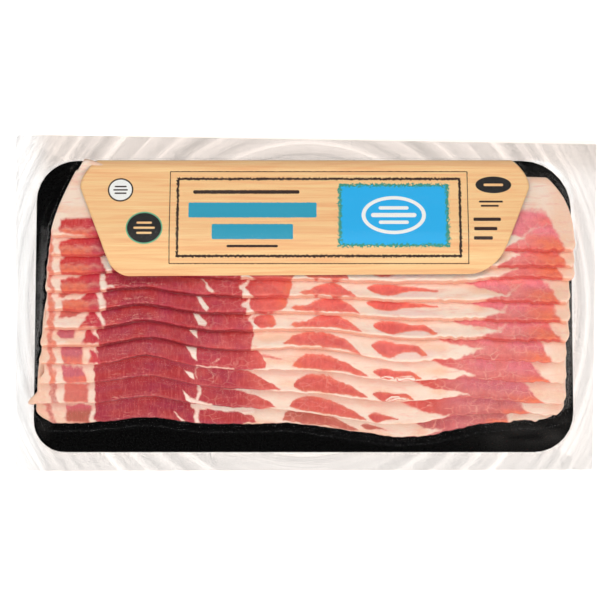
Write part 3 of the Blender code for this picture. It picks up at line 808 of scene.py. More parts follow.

# Where a painted sheen lies on the film over the board: x, y, reach in x, reach in y, strength
PAINTED_SHEEN_PATCHES = (
    (104.0, -60.0, 24.0, 9.0, 1.0),
    (119.0, -48.0, 6.0, 24.0, 0.9),
    (109.0, 60.0, 13.0, 5.0, 1.0),
    (122.0, 52.0, 4.0, 14.0, 0.7),
    (-124.0, -57.0, 3.0, 5.0, 0.7),
)


def height_map(meshes):
    """The highest point of the contents over each half millimetre of the footprint."""
    shape = (int(2 * (POUCH_HALF_LENGTH + 3) / RASTER), int(2 * (POUCH_HALF_DEPTH_LEFT + 3) / RASTER))
    heights = np.zeros(shape)
    for mesh in meshes:
        points = mesh_points(mesh)
        column = ((points[:, 0] + POUCH_HALF_LENGTH + 3) / RASTER).astype(int)
        row = ((points[:, 1] + POUCH_HALF_DEPTH_LEFT + 3) / RASTER).astype(int)
        np.maximum.at(heights, (column, row), points[:, 2])
    return heights


def spread(heights, cells):
    """Raise each place to the highest of its neighbours, so that the film clears edges."""
    for _ in range(cells):
        wide = heights.copy()
        wide[1:], wide[:-1] = np.maximum(wide[1:], heights[:-1]), np.maximum(wide[:-1], heights[1:])
        tall = wide.copy()
        tall[:, 1:] = np.maximum(tall[:, 1:], wide[:, :-1])
        tall[:, :-1] = np.maximum(tall[:, :-1], wide[:, 1:])
        heights = tall
    return heights


def rim_y(x):
    """y of the pouch's back edge."""
    rightward = (x + POUCH_HALF_LENGTH) / (2.0 * POUCH_HALF_LENGTH)
    return POUCH_HALF_DEPTH_LEFT + (POUCH_HALF_DEPTH_RIGHT - POUCH_HALF_DEPTH_LEFT) * rightward


def board_distance(x, y):
    """Distance in from the board's outline, negative outside it."""
    centre_x, half_x = (BOARD_LEFT + BOARD_RIGHT) / 2.0, (BOARD_RIGHT - BOARD_LEFT) / 2.0
    centre_y, half_y = (BOARD_FRONT + BOARD_BACK) / 2.0, (BOARD_BACK - BOARD_FRONT) / 2.0
    out_x = np.abs(x - centre_x) - half_x + BOARD_CORNER
    out_y = np.abs(y - centre_y) - half_y + BOARD_CORNER
    outside = np.hypot(np.maximum(out_x, 0.0), np.maximum(out_y, 0.0))
    return BOARD_CORNER - outside - np.minimum(np.maximum(out_x, out_y), 0.0)


def film_surface(contents):
    """x, y and height of the upper web: a tight skin that suction draws over the contents."""
    film = bpy.context.scene.bacon_film
    columns = int(2 * POUCH_HALF_LENGTH / (film.mesh_step / MM))
    rows = int((POUCH_HALF_DEPTH_LEFT + POUCH_HALF_DEPTH_RIGHT) / (film.mesh_step / MM))
    across, along = np.meshgrid(np.linspace(-1, 1, columns + 1), np.linspace(-1, 1, rows + 1), indexing="ij")
    x = across * POUCH_HALF_LENGTH
    y = along * rim_y(x)
    heights = spread(height_map(contents), 2)
    column = ((x + POUCH_HALF_LENGTH + 3) / RASTER).astype(int)
    row = ((y + POUCH_HALF_DEPTH_LEFT + 3) / RASTER).astype(int)
    clearance = film.clearance / MM
    inside = board_distance(x, y)
    floor = np.where(inside > -1.2, BOARD_TOP + clearance, SEAM_HEIGHT)
    rest = np.maximum(floor, heights[column, row] + clearance)
    sealed = inside < -3.0
    skin = rest.copy()
    pull = film.suction
    for _ in range(film.settling_steps):
        near = np.pad(skin, 1, mode="edge")
        average = (near[:-2, 1:-1] + near[2:, 1:-1] + near[1:-1, :-2] + near[1:-1, 2:]) / 4.0
        skin = np.where(sealed, SEAM_HEIGHT, np.maximum(rest, average - pull))
    free = np.clip((skin - rest) / 1.5, 0.0, 1.0) * ramp(-1.5, 0.5, inside)
    from_ends = np.minimum(x - BOARD_LEFT, BOARD_RIGHT - x)
    sideways = ramp(16.0, 6.0, from_ends)
    ridges_end = 1.0 - np.abs(ripple(y / 3.2, x / 16.0, 3.0))
    ridges_long = 1.0 - np.abs(ripple(x / 4.5, y / 14.0, 8.0))
    ridges = ridges_long * (1.0 - sideways) + ridges_end * sideways
    skin = np.maximum(rest, skin + film.wrinkle / MM * free * (ridges ** 3 - 0.3))
    margin = ramp(-4.0, -7.0, inside)
    skin = skin + margin * 0.04 * (1.0 + ripple(x / 11.0, y / 11.0, 5.0)) + WEB_GAP
    return x, y, skin


def film_mesh(contents):
    """The upper web as a grid, its corners rounded."""
    x, y, skin = film_surface(contents)

    def place(column, row):
        px, py = x[column, row], y[column, row]
        side_x, side_y = np.sign(px), np.sign(py)
        out_x = np.abs(px) - (POUCH_HALF_LENGTH - POUCH_CORNER_RADIUS)
        out_y = np.abs(py) - (rim_y(px) - POUCH_CORNER_RADIUS)
        corner = (out_x > 0.0) & (out_y > 0.0)
        reach = np.where(corner, np.maximum(out_x, out_y) / np.maximum(np.hypot(out_x, out_y), 1e-9), 1.0)
        px = np.where(corner, px - side_x * out_x * (1.0 - reach), px)
        py = np.where(corner, py - side_y * out_y * (1.0 - reach), py)
        return np.stack([px, py, skin[column, row]], -1)

    def attributes(column, row, points):
        px, py = points[:, 0], points[:, 1]
        # Painted sheen: faint milky patches, broken into streaks, stand in for light caught by the film over the
        # board's corners
        painted_sheen = sum(
            strength * hump(px, at_x, reach_x) * hump(py, at_y, reach_y)
            for at_x, at_y, reach_x, reach_y, strength in PAINTED_SHEEN_PATCHES
        )
        sheen_streaks = 0.55 + 0.45 * ripple(px / 9.0, py / 2.6, 7.0)
        # Painted shade: the margins pass less light, more at the back and none at the far left, evening out how they
        # are lit; in part the film's warm tint
        behind = 0.5 + 0.5 * ramp(55.0, 72.0, py)
        veil = ramp(0.3, -0.8, board_distance(px, py)) * behind * ramp(-134.0, -118.0, px)
        return {"painted_sheen": (np.clip(painted_sheen, 0.0, 1.0) * sheen_streaks, "FLOAT"), "veil": (veil, "FLOAT")}

    return grid_mesh("film_front_web", x.shape[0] - 1, x.shape[1] - 1, place, attributes)


# ---------------------------------------------------------------- shader tools


class Shade:
    """Adds and joins the nodes of a material or of a node group."""

    def __init__(self, tree):
        self.tree = tree

    def add(self, kind, settings=None, **inputs):
        """A node with its settings, and its inputs given as values or as sockets."""
        node = self.tree.nodes.new(kind)
        for key, value in (settings or {}).items():
            setattr(node, key, value)
        for key, value in inputs.items():
            self.feed(node, key.replace("_", " "), value)
        return node

    def feed(self, node, key, value):
        """Set or join one input, by its name or its number."""
        socket = node.inputs[int(key) if key.isdigit() else key]
        if isinstance(value, bpy.types.NodeSocket):
            self.tree.links.new(value, socket)
        elif hasattr(socket.default_value, "__len__") and len(socket.default_value) == 4 and len(value) == 3:
            socket.default_value = (*value, 1.0)
        else:
            socket.default_value = value

    def maths(self, operation, first, second=0.0, third=0.0):
        """The result of a Math node."""
        node = self.tree.nodes.new("ShaderNodeMath")
        node.operation = operation
        for number, value in enumerate((first, second, third)):
            self.feed(node, str(number), value)
        return node.outputs[0]

    def mix(self, share, first, second, mode="MIX"):
        """Two colours mixed by a share."""
        node = self.tree.nodes.new("ShaderNodeMix")
        node.data_type = "RGBA"
        node.blend_type = mode
        for number, value in ((0, share), (6, first), (7, second)):
            self.feed(node, str(number), value)
        return node.outputs[2]

    def limits(self, value, low, high, new_low=0.0, new_high=1.0):
        """A value moved smoothly from one range to another."""
        node = self.add("ShaderNodeMapRange", {"interpolation_type": "SMOOTHSTEP"})
        for number, entry in enumerate((value, low, high, new_low, new_high)):
            self.feed(node, str(number), entry)
        return node.outputs[0]

    def attribute(self, name, output="Fac"):
        """A value or a colour stored on the mesh."""
        node = self.add("ShaderNodeAttribute", {"attribute_name": name})
        return node.outputs[output]

    def place(self, scale=(1.0, 1.0, 1.0), turn=0.0):
        """Object coordinates in millimetres, stretched and turned."""
        source = self.add("ShaderNodeTexCoord").outputs["Object"]
        node = self.add("ShaderNodeMapping", Vector=source)
        node.inputs["Scale"].default_value = [value / MM for value in scale]
        node.inputs["Rotation"].default_value = (0.0, 0.0, turn)
        return node.outputs[0]

    def noise(self, vector, scale, detail=2.0, rough=0.5, distortion=0.0):
        """Fractal noise about 0.5."""
        node = self.add("ShaderNodeTexNoise", Vector=vector, Scale=scale, Detail=detail,
                        Roughness=rough, Distortion=distortion)
        return node.outputs[0]


def new_material(name):
    """An empty node material, its helper, and its output node."""
    material = bpy.data.materials.new(name)
    material.use_nodes = True
    material.node_tree.nodes.clear()
    shade = Shade(material.node_tree)
    return material, shade, shade.add("ShaderNodeOutputMaterial")


def new_group(name, inputs, outputs):
    """A shader node group with named float, colour or vector sockets."""
    tree = bpy.data.node_groups.new(name, "ShaderNodeTree")
    kinds = {"value": "NodeSocketFloat", "colour": "NodeSocketColor", "vector": "NodeSocketVector"}
    for key, kind, default in inputs:
        socket = tree.interface.new_socket(key, in_out="INPUT", socket_type=kinds[kind])
        if default is not None:
            socket.default_value = default
    for key, kind in outputs:
        tree.interface.new_socket(key, in_out="OUTPUT", socket_type=kinds[kind])
    shade = Shade(tree)
    return tree, shade, shade.add("NodeGroupInput").outputs, shade.add("NodeGroupOutput")


def use_group(shade, tree, **inputs):
    """Place a node group and return its outputs."""
    node = shade.add("ShaderNodeGroup", {"node_tree": tree}, **inputs)
    return node.outputs


def ragged_group():
    """A mask made crisp, with a fine ragged edge."""
    if "ragged_edge" in bpy.data.node_groups:
        return bpy.data.node_groups["ragged_edge"]
    tree, shade, given, result = new_group(
        "ragged_edge",
        [("Mask", "value", 0.0), ("Vector", "vector", None), ("Scale", "value", 1.0),
         ("Raggedness", "value", 0.3), ("Softness", "value", 0.15)],
        [("Mask", "value")],
    )
    noise = shade.noise(given["Vector"], given["Scale"], 3.0, 0.6)
    shift = shade.maths("MULTIPLY", shade.maths("SUBTRACT", noise, 0.5), given["Raggedness"])
    moved = shade.maths("ADD", given["Mask"], shift)
    low = shade.maths("SUBTRACT", 0.5, given["Softness"])
    high = shade.maths("ADD", 0.5, given["Softness"])
    shade.feed(result, "Mask", shade.limits(moved, low, high))
    return tree


def meat_material():
    """Cured pork: fibrous lean, smooth fat, smoke on the edges and creases darkened by painted shade."""
    meat = bpy.context.scene.bacon_meat
    material, shade, output = new_material("marbled_meat")
    place = shade.place()
    crisp = use_group(shade, ragged_group(), Mask=shade.attribute("lean"), Vector=place, Scale=0.9,
                      Raggedness=0.8, Softness=0.46)["Mask"]
    fibres = shade.noise(shade.place((1.1, 0.2, 0.4), 0.14), 1.0, 4.0, 0.66, 0.4)
    blotches = shade.noise(place, 0.35, 3.0, 0.6)
    lean = shade.mix(shade.limits(fibres, 0.45, 0.72, 0.0, 0.4), shade.attribute("tone", "Color"),
                     meat.pale_fibre)
    lean = shade.mix(shade.limits(fibres, 0.5, 0.3, 0.0, 0.16), lean, meat.deep)
    lean = shade.mix(shade.limits(blotches, 0.6, 0.36, 0.0, 0.16), lean, meat.deep)
    bent = shade.add("ShaderNodeVectorMath", {"operation": "ADD"})
    shade.feed(bent, "0", shade.place((0.17, 0.3, 0.2), 0.3))
    wander = shade.add("ShaderNodeTexNoise", Vector=place, Scale=0.35, Detail=3.0)
    gentle = shade.add("ShaderNodeVectorMath", {"operation": "SCALE"}, Scale=0.45)
    shade.feed(gentle, "0", wander.outputs["Color"])
    shade.feed(bent, "1", gentle.outputs[0])
    cells = shade.add("ShaderNodeTexVoronoi", {"feature": "DISTANCE_TO_EDGE"}, Vector=bent.outputs[0], Scale=1.0)
    threads = shade.limits(cells.outputs["Distance"], 0.085, 0.0)
    broken = shade.limits(shade.noise(place, 0.16, 3.0, 0.6), 0.36, 0.62)
    threads = shade.maths("MULTIPLY", shade.maths("MULTIPLY", threads, broken), shade.attribute("net"))
    lean = shade.mix(shade.maths("MULTIPLY", threads, 0.55), lean, meat.blush)
    specks = shade.add("ShaderNodeTexVoronoi", {"feature": "F1"}, Vector=place, Scale=0.55)
    speck = shade.limits(specks.outputs["Distance"], 0.16, 0.06, 0.0, 0.5)
    lean = shade.mix(shade.maths("MULTIPLY", speck, shade.limits(blotches, 0.5, 0.6)), lean, meat.blush)
    # Pale flecks where fibres tear, partly painted glints
    pale_flecks_and_glints = shade.limits(shade.noise(shade.place((0.34, 1.2, 0.5)), 1.0, 3.0, 0.7, 0.8), 0.52, 0.68)
    lean = shade.mix(shade.maths("MULTIPLY", pale_flecks_and_glints, shade.maths("MULTIPLY", shade.attribute("torn"), 0.8)),
                     lean, meat.blush)
    fat_grain = shade.noise(place, 0.8, 4.0, 0.62)
    veins = shade.noise(shade.place((0.12, 0.6, 0.3), -0.06), 1.0, 3.0, 0.55, 0.5)
    fat = shade.mix(shade.limits(veins, 0.48, 0.74, 0.0, 0.55), shade.attribute("cream", "Color"),
                    meat.blush)
    fat = shade.mix(shade.limits(fat_grain, 0.5, 0.3, 0.0, 0.3), fat, meat.white)
    colour = shade.mix(crisp, fat, lean)
    smoke_share = shade.maths("MULTIPLY", shade.attribute("smoke"), shade.limits(blotches, 0.3, 0.65, 0.45, 0.95))
    colour = shade.mix(smoke_share, colour, meat.smoke)
    rightward = shade.add("ShaderNodeSeparateXYZ", Vector=place).outputs[0]
    # Painted shade in the creases: darker colour under each slice's front edge, coral where the lean is pale,
    # pink-orange in fat
    inner = shade.maths("MULTIPLY", shade.limits(rightward, -99.0, -93.0), shade.limits(rightward, -12.0, -45.0))
    painted_crease_shade_lean = shade.mix(inner, meat.crease_coral, meat.crease)
    painted_crease_shade_colour = shade.mix(crisp, meat.crease_fat, painted_crease_shade_lean)
    colour = shade.mix(shade.maths("MULTIPLY", shade.attribute("crease"), 0.75), colour, painted_crease_shade_colour)
    relief = shade.maths("ADD", shade.maths("MULTIPLY", fibres, crisp), shade.maths("MULTIPLY", fat_grain, 0.6))
    bump = shade.add("ShaderNodeBump", Height=relief, Strength=0.35, Distance=0.0004)
    shader = shade.add("ShaderNodeBsdfPrincipled")
    shade.feed(shader, "Base Color", colour)
    shade.feed(shader, "Roughness", shade.limits(fat_grain, 0.3, 0.7, 0.26, 0.38))
    shader.inputs["Specular IOR Level"].default_value = 0.2
    shader.inputs["Subsurface Weight"].default_value = 0.12
    shader.inputs["Subsurface Radius"].default_value = (1.0, 0.35, 0.2)
    shader.inputs["Subsurface Scale"].default_value = 0.0012
    shade.feed(shader, "Normal", bump.outputs[0])
    shade.feed(output, "Surface", shader.outputs[0])
    return material


def backing_material():
    """The clear lower web: flat, a little milky, with an even gloss."""
    film = bpy.context.scene.bacon_film
    material, shade, output = new_material("clear_backing")
    clear = shade.add("ShaderNodeBsdfTransparent", Color=film.tint)
    milky = shade.add("ShaderNodeBsdfDiffuse", Color=film.haze)
    body = shade.add("ShaderNodeMixShader", None)
    body.inputs[0].default_value = 0.01
    shade.feed(body, "1", clear.outputs[0])
    shade.feed(body, "2", milky.outputs[0])
    gloss = shade.add("ShaderNodeBsdfGlossy", Roughness=film.roughness)
    whole = shade.add("ShaderNodeMixShader", None)
    whole.inputs[0].default_value = film.gloss
    shade.feed(whole, "1", body.outputs[0])
    shade.feed(whole, "2", gloss.outputs[0])
    shade.feed(output, "Surface", whole.outputs[0])
    return material


def film_material():
    """Clear glossy film, hazy along its sealed margins, with a painted sheen over the board's corners and painted
    shade in the light its margins pass.
    """
    film = bpy.context.scene.bacon_film
    material, shade, output = new_material("clear_film")
    place = shade.place()
    parts = shade.add("ShaderNodeSeparateXYZ", Vector=place).outputs
    from_side = shade.maths("SUBTRACT", POUCH_HALF_LENGTH, shade.maths("ABSOLUTE", parts[0]))
    from_front = shade.maths("SUBTRACT", 79.0, shade.maths("ABSOLUTE", parts[1]))
    from_rim = shade.maths("MINIMUM", from_side, from_front)
    margin = shade.limits(from_rim, 9.6, 8.2, 0.0, 1.0)
    band = shade.maths("MULTIPLY", shade.limits(from_rim, 1.6, 2.2), shade.limits(from_rim, 7.2, 6.6))
    cloud = shade.noise(place, 0.12, 3.0, 0.55)
    crinkle = shade.noise(place, 0.7, 4.0, 0.6, 0.4)
    haze = shade.maths("MULTIPLY", margin, shade.limits(cloud, 0.3, 0.7, 0.006, 0.012))
    haze = shade.maths("ADD", haze, shade.maths("MULTIPLY", band, 0.006))
    # Painted sheen: a little milky white over the board's corners
    haze = shade.maths("ADD", haze, shade.maths("MULTIPLY", shade.attribute("painted_sheen"), 0.013))
    crinkles = shade.maths("MULTIPLY", crinkle, shade.limits(margin, 0.0, 1.0, 0.5, 0.25))
    bump = shade.add("ShaderNodeBump", Height=crinkles, Strength=0.25, Distance=0.0006)
    # Painted shade in the margins' passed light, in part the film's warm tint
    passed = shade.mix(shade.attribute("veil"), film.tint, film.veil)
    clear = shade.add("ShaderNodeBsdfTransparent", Color=passed)
    milky = shade.add("ShaderNodeBsdfDiffuse", Color=film.haze)
    body = shade.add("ShaderNodeMixShader", None)
    shade.feed(body, "0", haze)
    shade.feed(body, "1", clear.outputs[0])
    shade.feed(body, "2", milky.outputs[0])
    gloss = shade.add("ShaderNodeBsdfGlossy", Roughness=film.roughness, Normal=bump.outputs[0])
    facing = shade.add("ShaderNodeLayerWeight", Blend=0.5, Normal=bump.outputs[0]).outputs["Facing"]
    grazing = shade.maths("MULTIPLY", shade.maths("POWER", facing, 4.0), film.grazing_gloss)
    # Only what the viewer sees shines: the thin film throws no patches of light about
    seen = shade.add("ShaderNodeLightPath").outputs["Is Camera Ray"]
    whole = shade.add("ShaderNodeMixShader", None)
    shade.feed(whole, "0", shade.maths("MULTIPLY", shade.maths("ADD", grazing, film.gloss), seen))
    shade.feed(whole, "1", body.outputs[0])
    shade.feed(whole, "2", gloss.outputs[0])
    shade.feed(output, "Surface", whole.outputs[0])
    return material


def board_material():
    """Black coated card above, plain wood-toned print beneath."""
    board = bpy.context.scene.bacon_board
    material, shade, output = new_material("black_board")
    place = shade.place()
    grain = shade.noise(place, 0.9, 4.0, 0.6)
    height = shade.add("ShaderNodeSeparateXYZ", Vector=place).outputs[2]
    upper = shade.limits(height, 0.75, 0.85)
    black = shade.mix(shade.limits(grain, 0.45, 0.75, 0.0, 0.6), board.black, board.worn_black)
    colour = shade.mix(upper, wood_print(shade), black)
    shader = shade.add("ShaderNodeBsdfPrincipled")
    shade.feed(shader, "Base Color", colour)
    shade.feed(shader, "Roughness", shade.limits(grain, 0.3, 0.7, 0.24, 0.34))
    shader.inputs["Specular IOR Level"].default_value = 0.06
    bump = shade.add("ShaderNodeBump", Height=grain, Strength=0.1, Distance=0.0001)
    shade.feed(shader, "Normal", bump.outputs[0])
    shade.feed(output, "Surface", shader.outputs[0])
    return material


def wood_group():
    """Printed wood grain: long fine streaks with darker knots of colour."""
    if "wood_print" in bpy.data.node_groups:
        return bpy.data.node_groups["wood_print"]
    tree, shade, given, result = new_group(
        "wood_print",
        [("Vector", "vector", None), ("Wood", "colour", None), ("Streak", "colour", None),
         ("Pale", "colour", None)],
        [("Color", "colour")],
    )
    stretched = shade.add("ShaderNodeVectorMath", {"operation": "MULTIPLY"})
    shade.feed(stretched, "0", given["Vector"])
    stretched.inputs[1].default_value = (0.022, 0.55, 0.3)
    fine = shade.add("ShaderNodeVectorMath", {"operation": "MULTIPLY"})
    shade.feed(fine, "0", given["Vector"])
    fine.inputs[1].default_value = (0.05, 1.9, 0.5)
    broad = shade.noise(stretched.outputs[0], 1.0, 3.0, 0.55, 0.6)
    thin = shade.noise(fine.outputs[0], 1.0, 2.0, 0.6, 0.3)
    colour = shade.mix(shade.limits(broad, 0.4, 0.75, 0.0, 0.75), given["Wood"], given["Streak"])
    colour = shade.mix(shade.limits(broad, 0.45, 0.25, 0.0, 0.7), colour, given["Pale"])
    colour = shade.mix(shade.limits(thin, 0.5, 0.75, 0.0, 0.5), colour, given["Streak"])
    shade.feed(result, "Color", colour)
    return tree


def wood_print(shade):
    """The wood-toned field of the card's printed face."""
    label = bpy.context.scene.bacon_label
    return use_group(shade, wood_group(), Vector=shade.place(), Wood=label.wood,
                     Streak=label.wood_streak, Pale=label.wood_pale)["Color"]


def shape_group():
    """Mask of a printed shape: a round-cornered box or, with Oval 1, an oval."""
    if "printed_shape" in bpy.data.node_groups:
        return bpy.data.node_groups["printed_shape"]
    tree, shade, given, result = new_group(
        "printed_shape",
        [("Vector", "vector", None), ("Centre X", "value", 0.0), ("Centre Y", "value", 0.0),
         ("Half X", "value", 1.0), ("Half Y", "value", 1.0), ("Round", "value", 0.0),
         ("Oval", "value", 0.0), ("Wear", "value", 0.0)],
        [("Mask", "value"), ("Inside", "value")],
    )
    parts = shade.add("ShaderNodeSeparateXYZ", Vector=given["Vector"]).outputs
    off_x = shade.maths("ABSOLUTE", shade.maths("SUBTRACT", parts[0], given["Centre X"]))
    off_y = shade.maths("ABSOLUTE", shade.maths("SUBTRACT", parts[1], given["Centre Y"]))
    out_x = shade.maths("ADD", shade.maths("SUBTRACT", off_x, given["Half X"]), given["Round"])
    out_y = shade.maths("ADD", shade.maths("SUBTRACT", off_y, given["Half Y"]), given["Round"])
    far_x, far_y = shade.maths("MAXIMUM", out_x, 0.0), shade.maths("MAXIMUM", out_y, 0.0)
    corner = shade.maths("SQRT", shade.maths("ADD", shade.maths("MULTIPLY", far_x, far_x),
                                             shade.maths("MULTIPLY", far_y, far_y)))
    inner = shade.maths("MINIMUM", shade.maths("MAXIMUM", out_x, out_y), 0.0)
    box = shade.maths("SUBTRACT", given["Round"], shade.maths("ADD", corner, inner))
    unit_x = shade.maths("DIVIDE", off_x, given["Half X"])
    unit_y = shade.maths("DIVIDE", off_y, given["Half Y"])
    radius = shade.maths("SQRT", shade.maths("ADD", shade.maths("MULTIPLY", unit_x, unit_x),
                                             shade.maths("MULTIPLY", unit_y, unit_y)))
    oval = shade.maths("MULTIPLY", shade.maths("SUBTRACT", 1.0, radius), given["Half Y"])
    inside = shade.maths("ADD", shade.maths("MULTIPLY", box, shade.maths("SUBTRACT", 1.0, given["Oval"])),
                         shade.maths("MULTIPLY", oval, given["Oval"]))
    tear = shade.noise(given["Vector"], 0.9, 4.0, 0.65)
    worn = shade.maths("SUBTRACT", inside, shade.maths(
        "MULTIPLY", shade.maths("SUBTRACT", tear, 0.42), given["Wear"]))
    shade.feed(result, "Mask", shade.limits(worn, -0.08, 0.08))
    shade.feed(result, "Inside", inside)
    return tree


# Printed shapes, in millimetres from the pack's middle, as seen from above:
# centre x, centre y, half width, half height, corner radius, oval, wear, colour
BORDER = (6.0, 41.0, 70.0, 22.0)
PRINTED_SHAPES = (
    (*BORDER, 0.4, 0.0, 0.6, "ink"),
    (BORDER[0], BORDER[1], BORDER[2] - 0.45, BORDER[3] - 0.45, 0.3, 0.0, 0.15, "wood"),
    (BORDER[0], BORDER[1], 66.8, 19.0, 0.4, 0.0, 2.2, "ink"),
    (BORDER[0], BORDER[1], 65.6, 17.8, 0.3, 0.0, 1.6, "wood"),
    (41.0, 42.0, 26.4, 15.4, 1.2, 0.0, 6.0, "teal"),
    (41.0, 42.0, 24.8, 14.0, 0.8, 0.0, 5.0, "blue"),
    (41.0, 42.0, 15.0, 9.0, 0.0, 1.0, 0.0, "white"),
    (41.0, 42.0, 13.2, 7.4, 0.0, 1.0, 0.0, "blue"),
    (41.0, 42.0, 10.6, 1.0, 1.0, 0.0, 0.0, "white"),
    (41.0, 45.4, 7.0, 0.8, 0.8, 0.0, 0.0, "white"),
    (41.0, 38.6, 7.0, 0.8, 0.8, 0.0, 0.0, "white"),
    (-28.0, 53.0, 25.0, 0.9, 0.9, 0.0, 0.5, "ink"),
    (-25.0, 44.4, 30.0, 3.6, 0.6, 0.0, 0.5, "turquoise"),
    (-25.0, 34.2, 19.0, 3.6, 0.6, 0.0, 0.5, "turquoise"),
    (-25.0, 27.4, 12.0, 0.6, 0.6, 0.0, 0.3, "ink"),
    (-75.5, 36.0, 8.6, 7.6, 0.0, 1.0, 0.0, "green"),
    (-75.5, 36.0, 8.0, 7.0, 0.0, 1.0, 0.0, "black"),
    (-75.5, 36.0, 5.0, 0.5, 0.5, 0.0, 0.0, "wood"),
    (-75.5, 38.4, 3.6, 0.5, 0.5, 0.0, 0.0, "wood"),
    (-75.5, 33.6, 3.6, 0.5, 0.5, 0.0, 0.0, "wood"),
    (-87.0, 54.0, 6.0, 5.6, 0.0, 1.0, 0.0, "ink"),
    (-87.0, 54.0, 5.3, 4.9, 0.0, 1.0, 0.0, "white"),
    (-87.0, 54.0, 3.4, 0.35, 0.3, 0.0, 0.0, "ink"),
    (-87.0, 55.6, 2.8, 0.35, 0.3, 0.0, 0.0, "ink"),
    (-87.0, 52.4, 2.8, 0.35, 0.3, 0.0, 0.0, "ink"),
    (88.0, 56.4, 8.4, 4.0, 0.0, 1.0, 0.0, "black"),
    (88.0, 56.4, 4.6, 0.6, 0.6, 0.0, 0.0, "wood"),
    (86.6, 48.4, 5.6, 0.45, 0.4, 0.0, 0.0, "ink"),
    (86.0, 46.4, 4.2, 0.45, 0.4, 0.0, 0.0, "ink"),
    (84.6, 40.0, 6.4, 0.8, 0.5, 0.0, 0.0, "ink"),
    (83.8, 35.6, 5.4, 0.8, 0.5, 0.0, 0.0, "ink"),
    (82.6, 31.2, 4.4, 0.8, 0.5, 0.0, 0.0, "ink"),
)


def label_material():
    """Printed card: wood print with a worn border, fields of colour and plain bars."""
    label = bpy.context.scene.bacon_label
    material, shade, output = new_material("printed_card")
    place = shade.place()
    wood = wood_print(shade)
    inks = {"ink": label.ink, "black": label.black, "teal": label.teal, "blue": label.blue,
            "white": label.white, "turquoise": label.turquoise, "green": label.green, "wood": wood}
    colour = wood
    for x, y, half_x, half_y, corner, oval, wear, ink in PRINTED_SHAPES:
        mask = use_group(shade, shape_group(), Vector=place, Centre_X=x, Centre_Y=y, Half_X=half_x,
                         Half_Y=half_y, Round=corner, Oval=oval, Wear=wear)["Mask"]
        colour = shade.mix(mask, colour, inks[ink])
    normal = shade.add("ShaderNodeNewGeometry").outputs["Normal"]
    up = shade.add("ShaderNodeSeparateXYZ", Vector=normal).outputs[2]
    colour = shade.mix(shade.limits(up, 0.35, 0.2), colour, label.card_edge)
    colour = shade.mix(shade.limits(up, -0.2, -0.35), colour, label.black)
    fibre = shade.noise(place, 1.6, 3.0, 0.6)
    shader = shade.add("ShaderNodeBsdfPrincipled")
    shade.feed(shader, "Base Color", colour)
    shade.feed(shader, "Roughness", shade.limits(fibre, 0.3, 0.7, 0.42, 0.58))
    shader.inputs["Specular IOR Level"].default_value = 0.3
    bump = shade.add("ShaderNodeBump", Height=fibre, Strength=0.12, Distance=0.0002)
    shade.feed(shader, "Normal", bump.outputs[0])
    shade.feed(output, "Surface", shader.outputs[0])
    return material


def floor_material():
    """Plain pale floor."""
    stage = bpy.context.scene.bacon_stage
    material, shade, output = new_material("pale_floor")
    shader = shade.add("ShaderNodeBsdfPrincipled")
    shade.feed(shader, "Base Color", stage.floor_colour)
    shader.inputs["Roughness"].default_value = 0.9
    shader.inputs["Emission Color"].default_value = (*stage.floor_colour, 1.0)
    shader.inputs["Emission Strength"].default_value = stage.floor_glow
    shade.feed(output, "Surface", shader.outputs[0])
    return material


# ---------------------------------------------------------------- settings


def colour_setting(name, description, default):
    """A colour that a user may change."""
    return FloatVectorProperty(name=name, description=description, subtype="COLOR", size=3,
                               min=0.0, max=1.0, default=default)


class MeatSettings(bpy.types.PropertyGroup):
    """Sizes and colours of the slices."""

    slice_thickness: FloatProperty(name="Slice thickness", description="Thickness of a slice",
                                   default=0.0038, unit="LENGTH")
    fine_step: FloatProperty(name="Fine step", description="Mesh spacing on what shows of a slice",
                             default=0.00052, unit="LENGTH")
    fine_depth: FloatProperty(name="Fine depth", description="How far back the fine mesh reaches",
                              default=0.0135, unit="LENGTH")
    dark: colour_setting("Dark lean", "Lean of the left part", srgb(192, 58, 70))
    pale_fibre: colour_setting("Pale fibres", "Fine pale streaks of the lean", srgb(232, 118, 112))
    deep: colour_setting("Deep lean", "Darkest blotches of lean", srgb(160, 34, 52))
    rose: colour_setting("Rose lean", "Lean before the hooks", srgb(212, 78, 84))
    bright: colour_setting("Bright lean", "Lean patch near the left rind", srgb(214, 66, 62))
    coral: colour_setting("Coral lean", "Lean of the lobes and lenses", srgb(240, 112, 100))
    rosy: colour_setting("Rosy lean", "Lean of the right end", srgb(248, 148, 142))
    crimson: colour_setting("Crimson lean", "Right part of the left patches", srgb(208, 58, 74))
    ember: colour_setting("Ember lean", "Orange-red blotches of lean", srgb(206, 62, 54))
    veil: colour_setting("Veiled fat", "Mauve fat below the tongues", srgb(240, 196, 190))
    amber: colour_setting("Amber lean", "Orange rim of lenses and tongues", srgb(244, 136, 106))
    plum: colour_setting("Plum lean", "Purple-red blotches of lean", srgb(182, 54, 84))
    mauve: colour_setting("Mauve lean", "Rear part of the right end's lean", srgb(240, 136, 148))
    dusky: colour_setting("Dusky lean", "Purple-pink lean of the left patches", srgb(208, 112, 122))
    salmon: colour_setting("Salmon lean", "Pale lean of the front slices", srgb(220, 128, 112))
    dull: colour_setting("Dull lean", "Brown lean of the front slice", srgb(178, 110, 88))
    cream: colour_setting("Cream fat", "Fat", srgb(252, 226, 206))
    peach: colour_setting("Peach fat", "Fat near the rind", srgb(249, 202, 172))
    white: colour_setting("White fat", "Whitest fat", srgb(255, 240, 226))
    blush: colour_setting("Blush fat", "Fat beside lean", srgb(244, 178, 160))
    smoke: colour_setting("Smoke", "Orange smoked edge", srgb(246, 130, 92))
    # Colours of the painted shade in the creases under each slice's front edge
    crease: colour_setting("Crease in lean", "Crease under a slice's lean", srgb(120, 20, 30))
    crease_coral: colour_setting("Crease in coral lean", "Crease under lobes and lenses", srgb(214, 84, 76))
    crease_fat: colour_setting("Crease in fat", "Crease under a slice's fat", srgb(240, 158, 128))


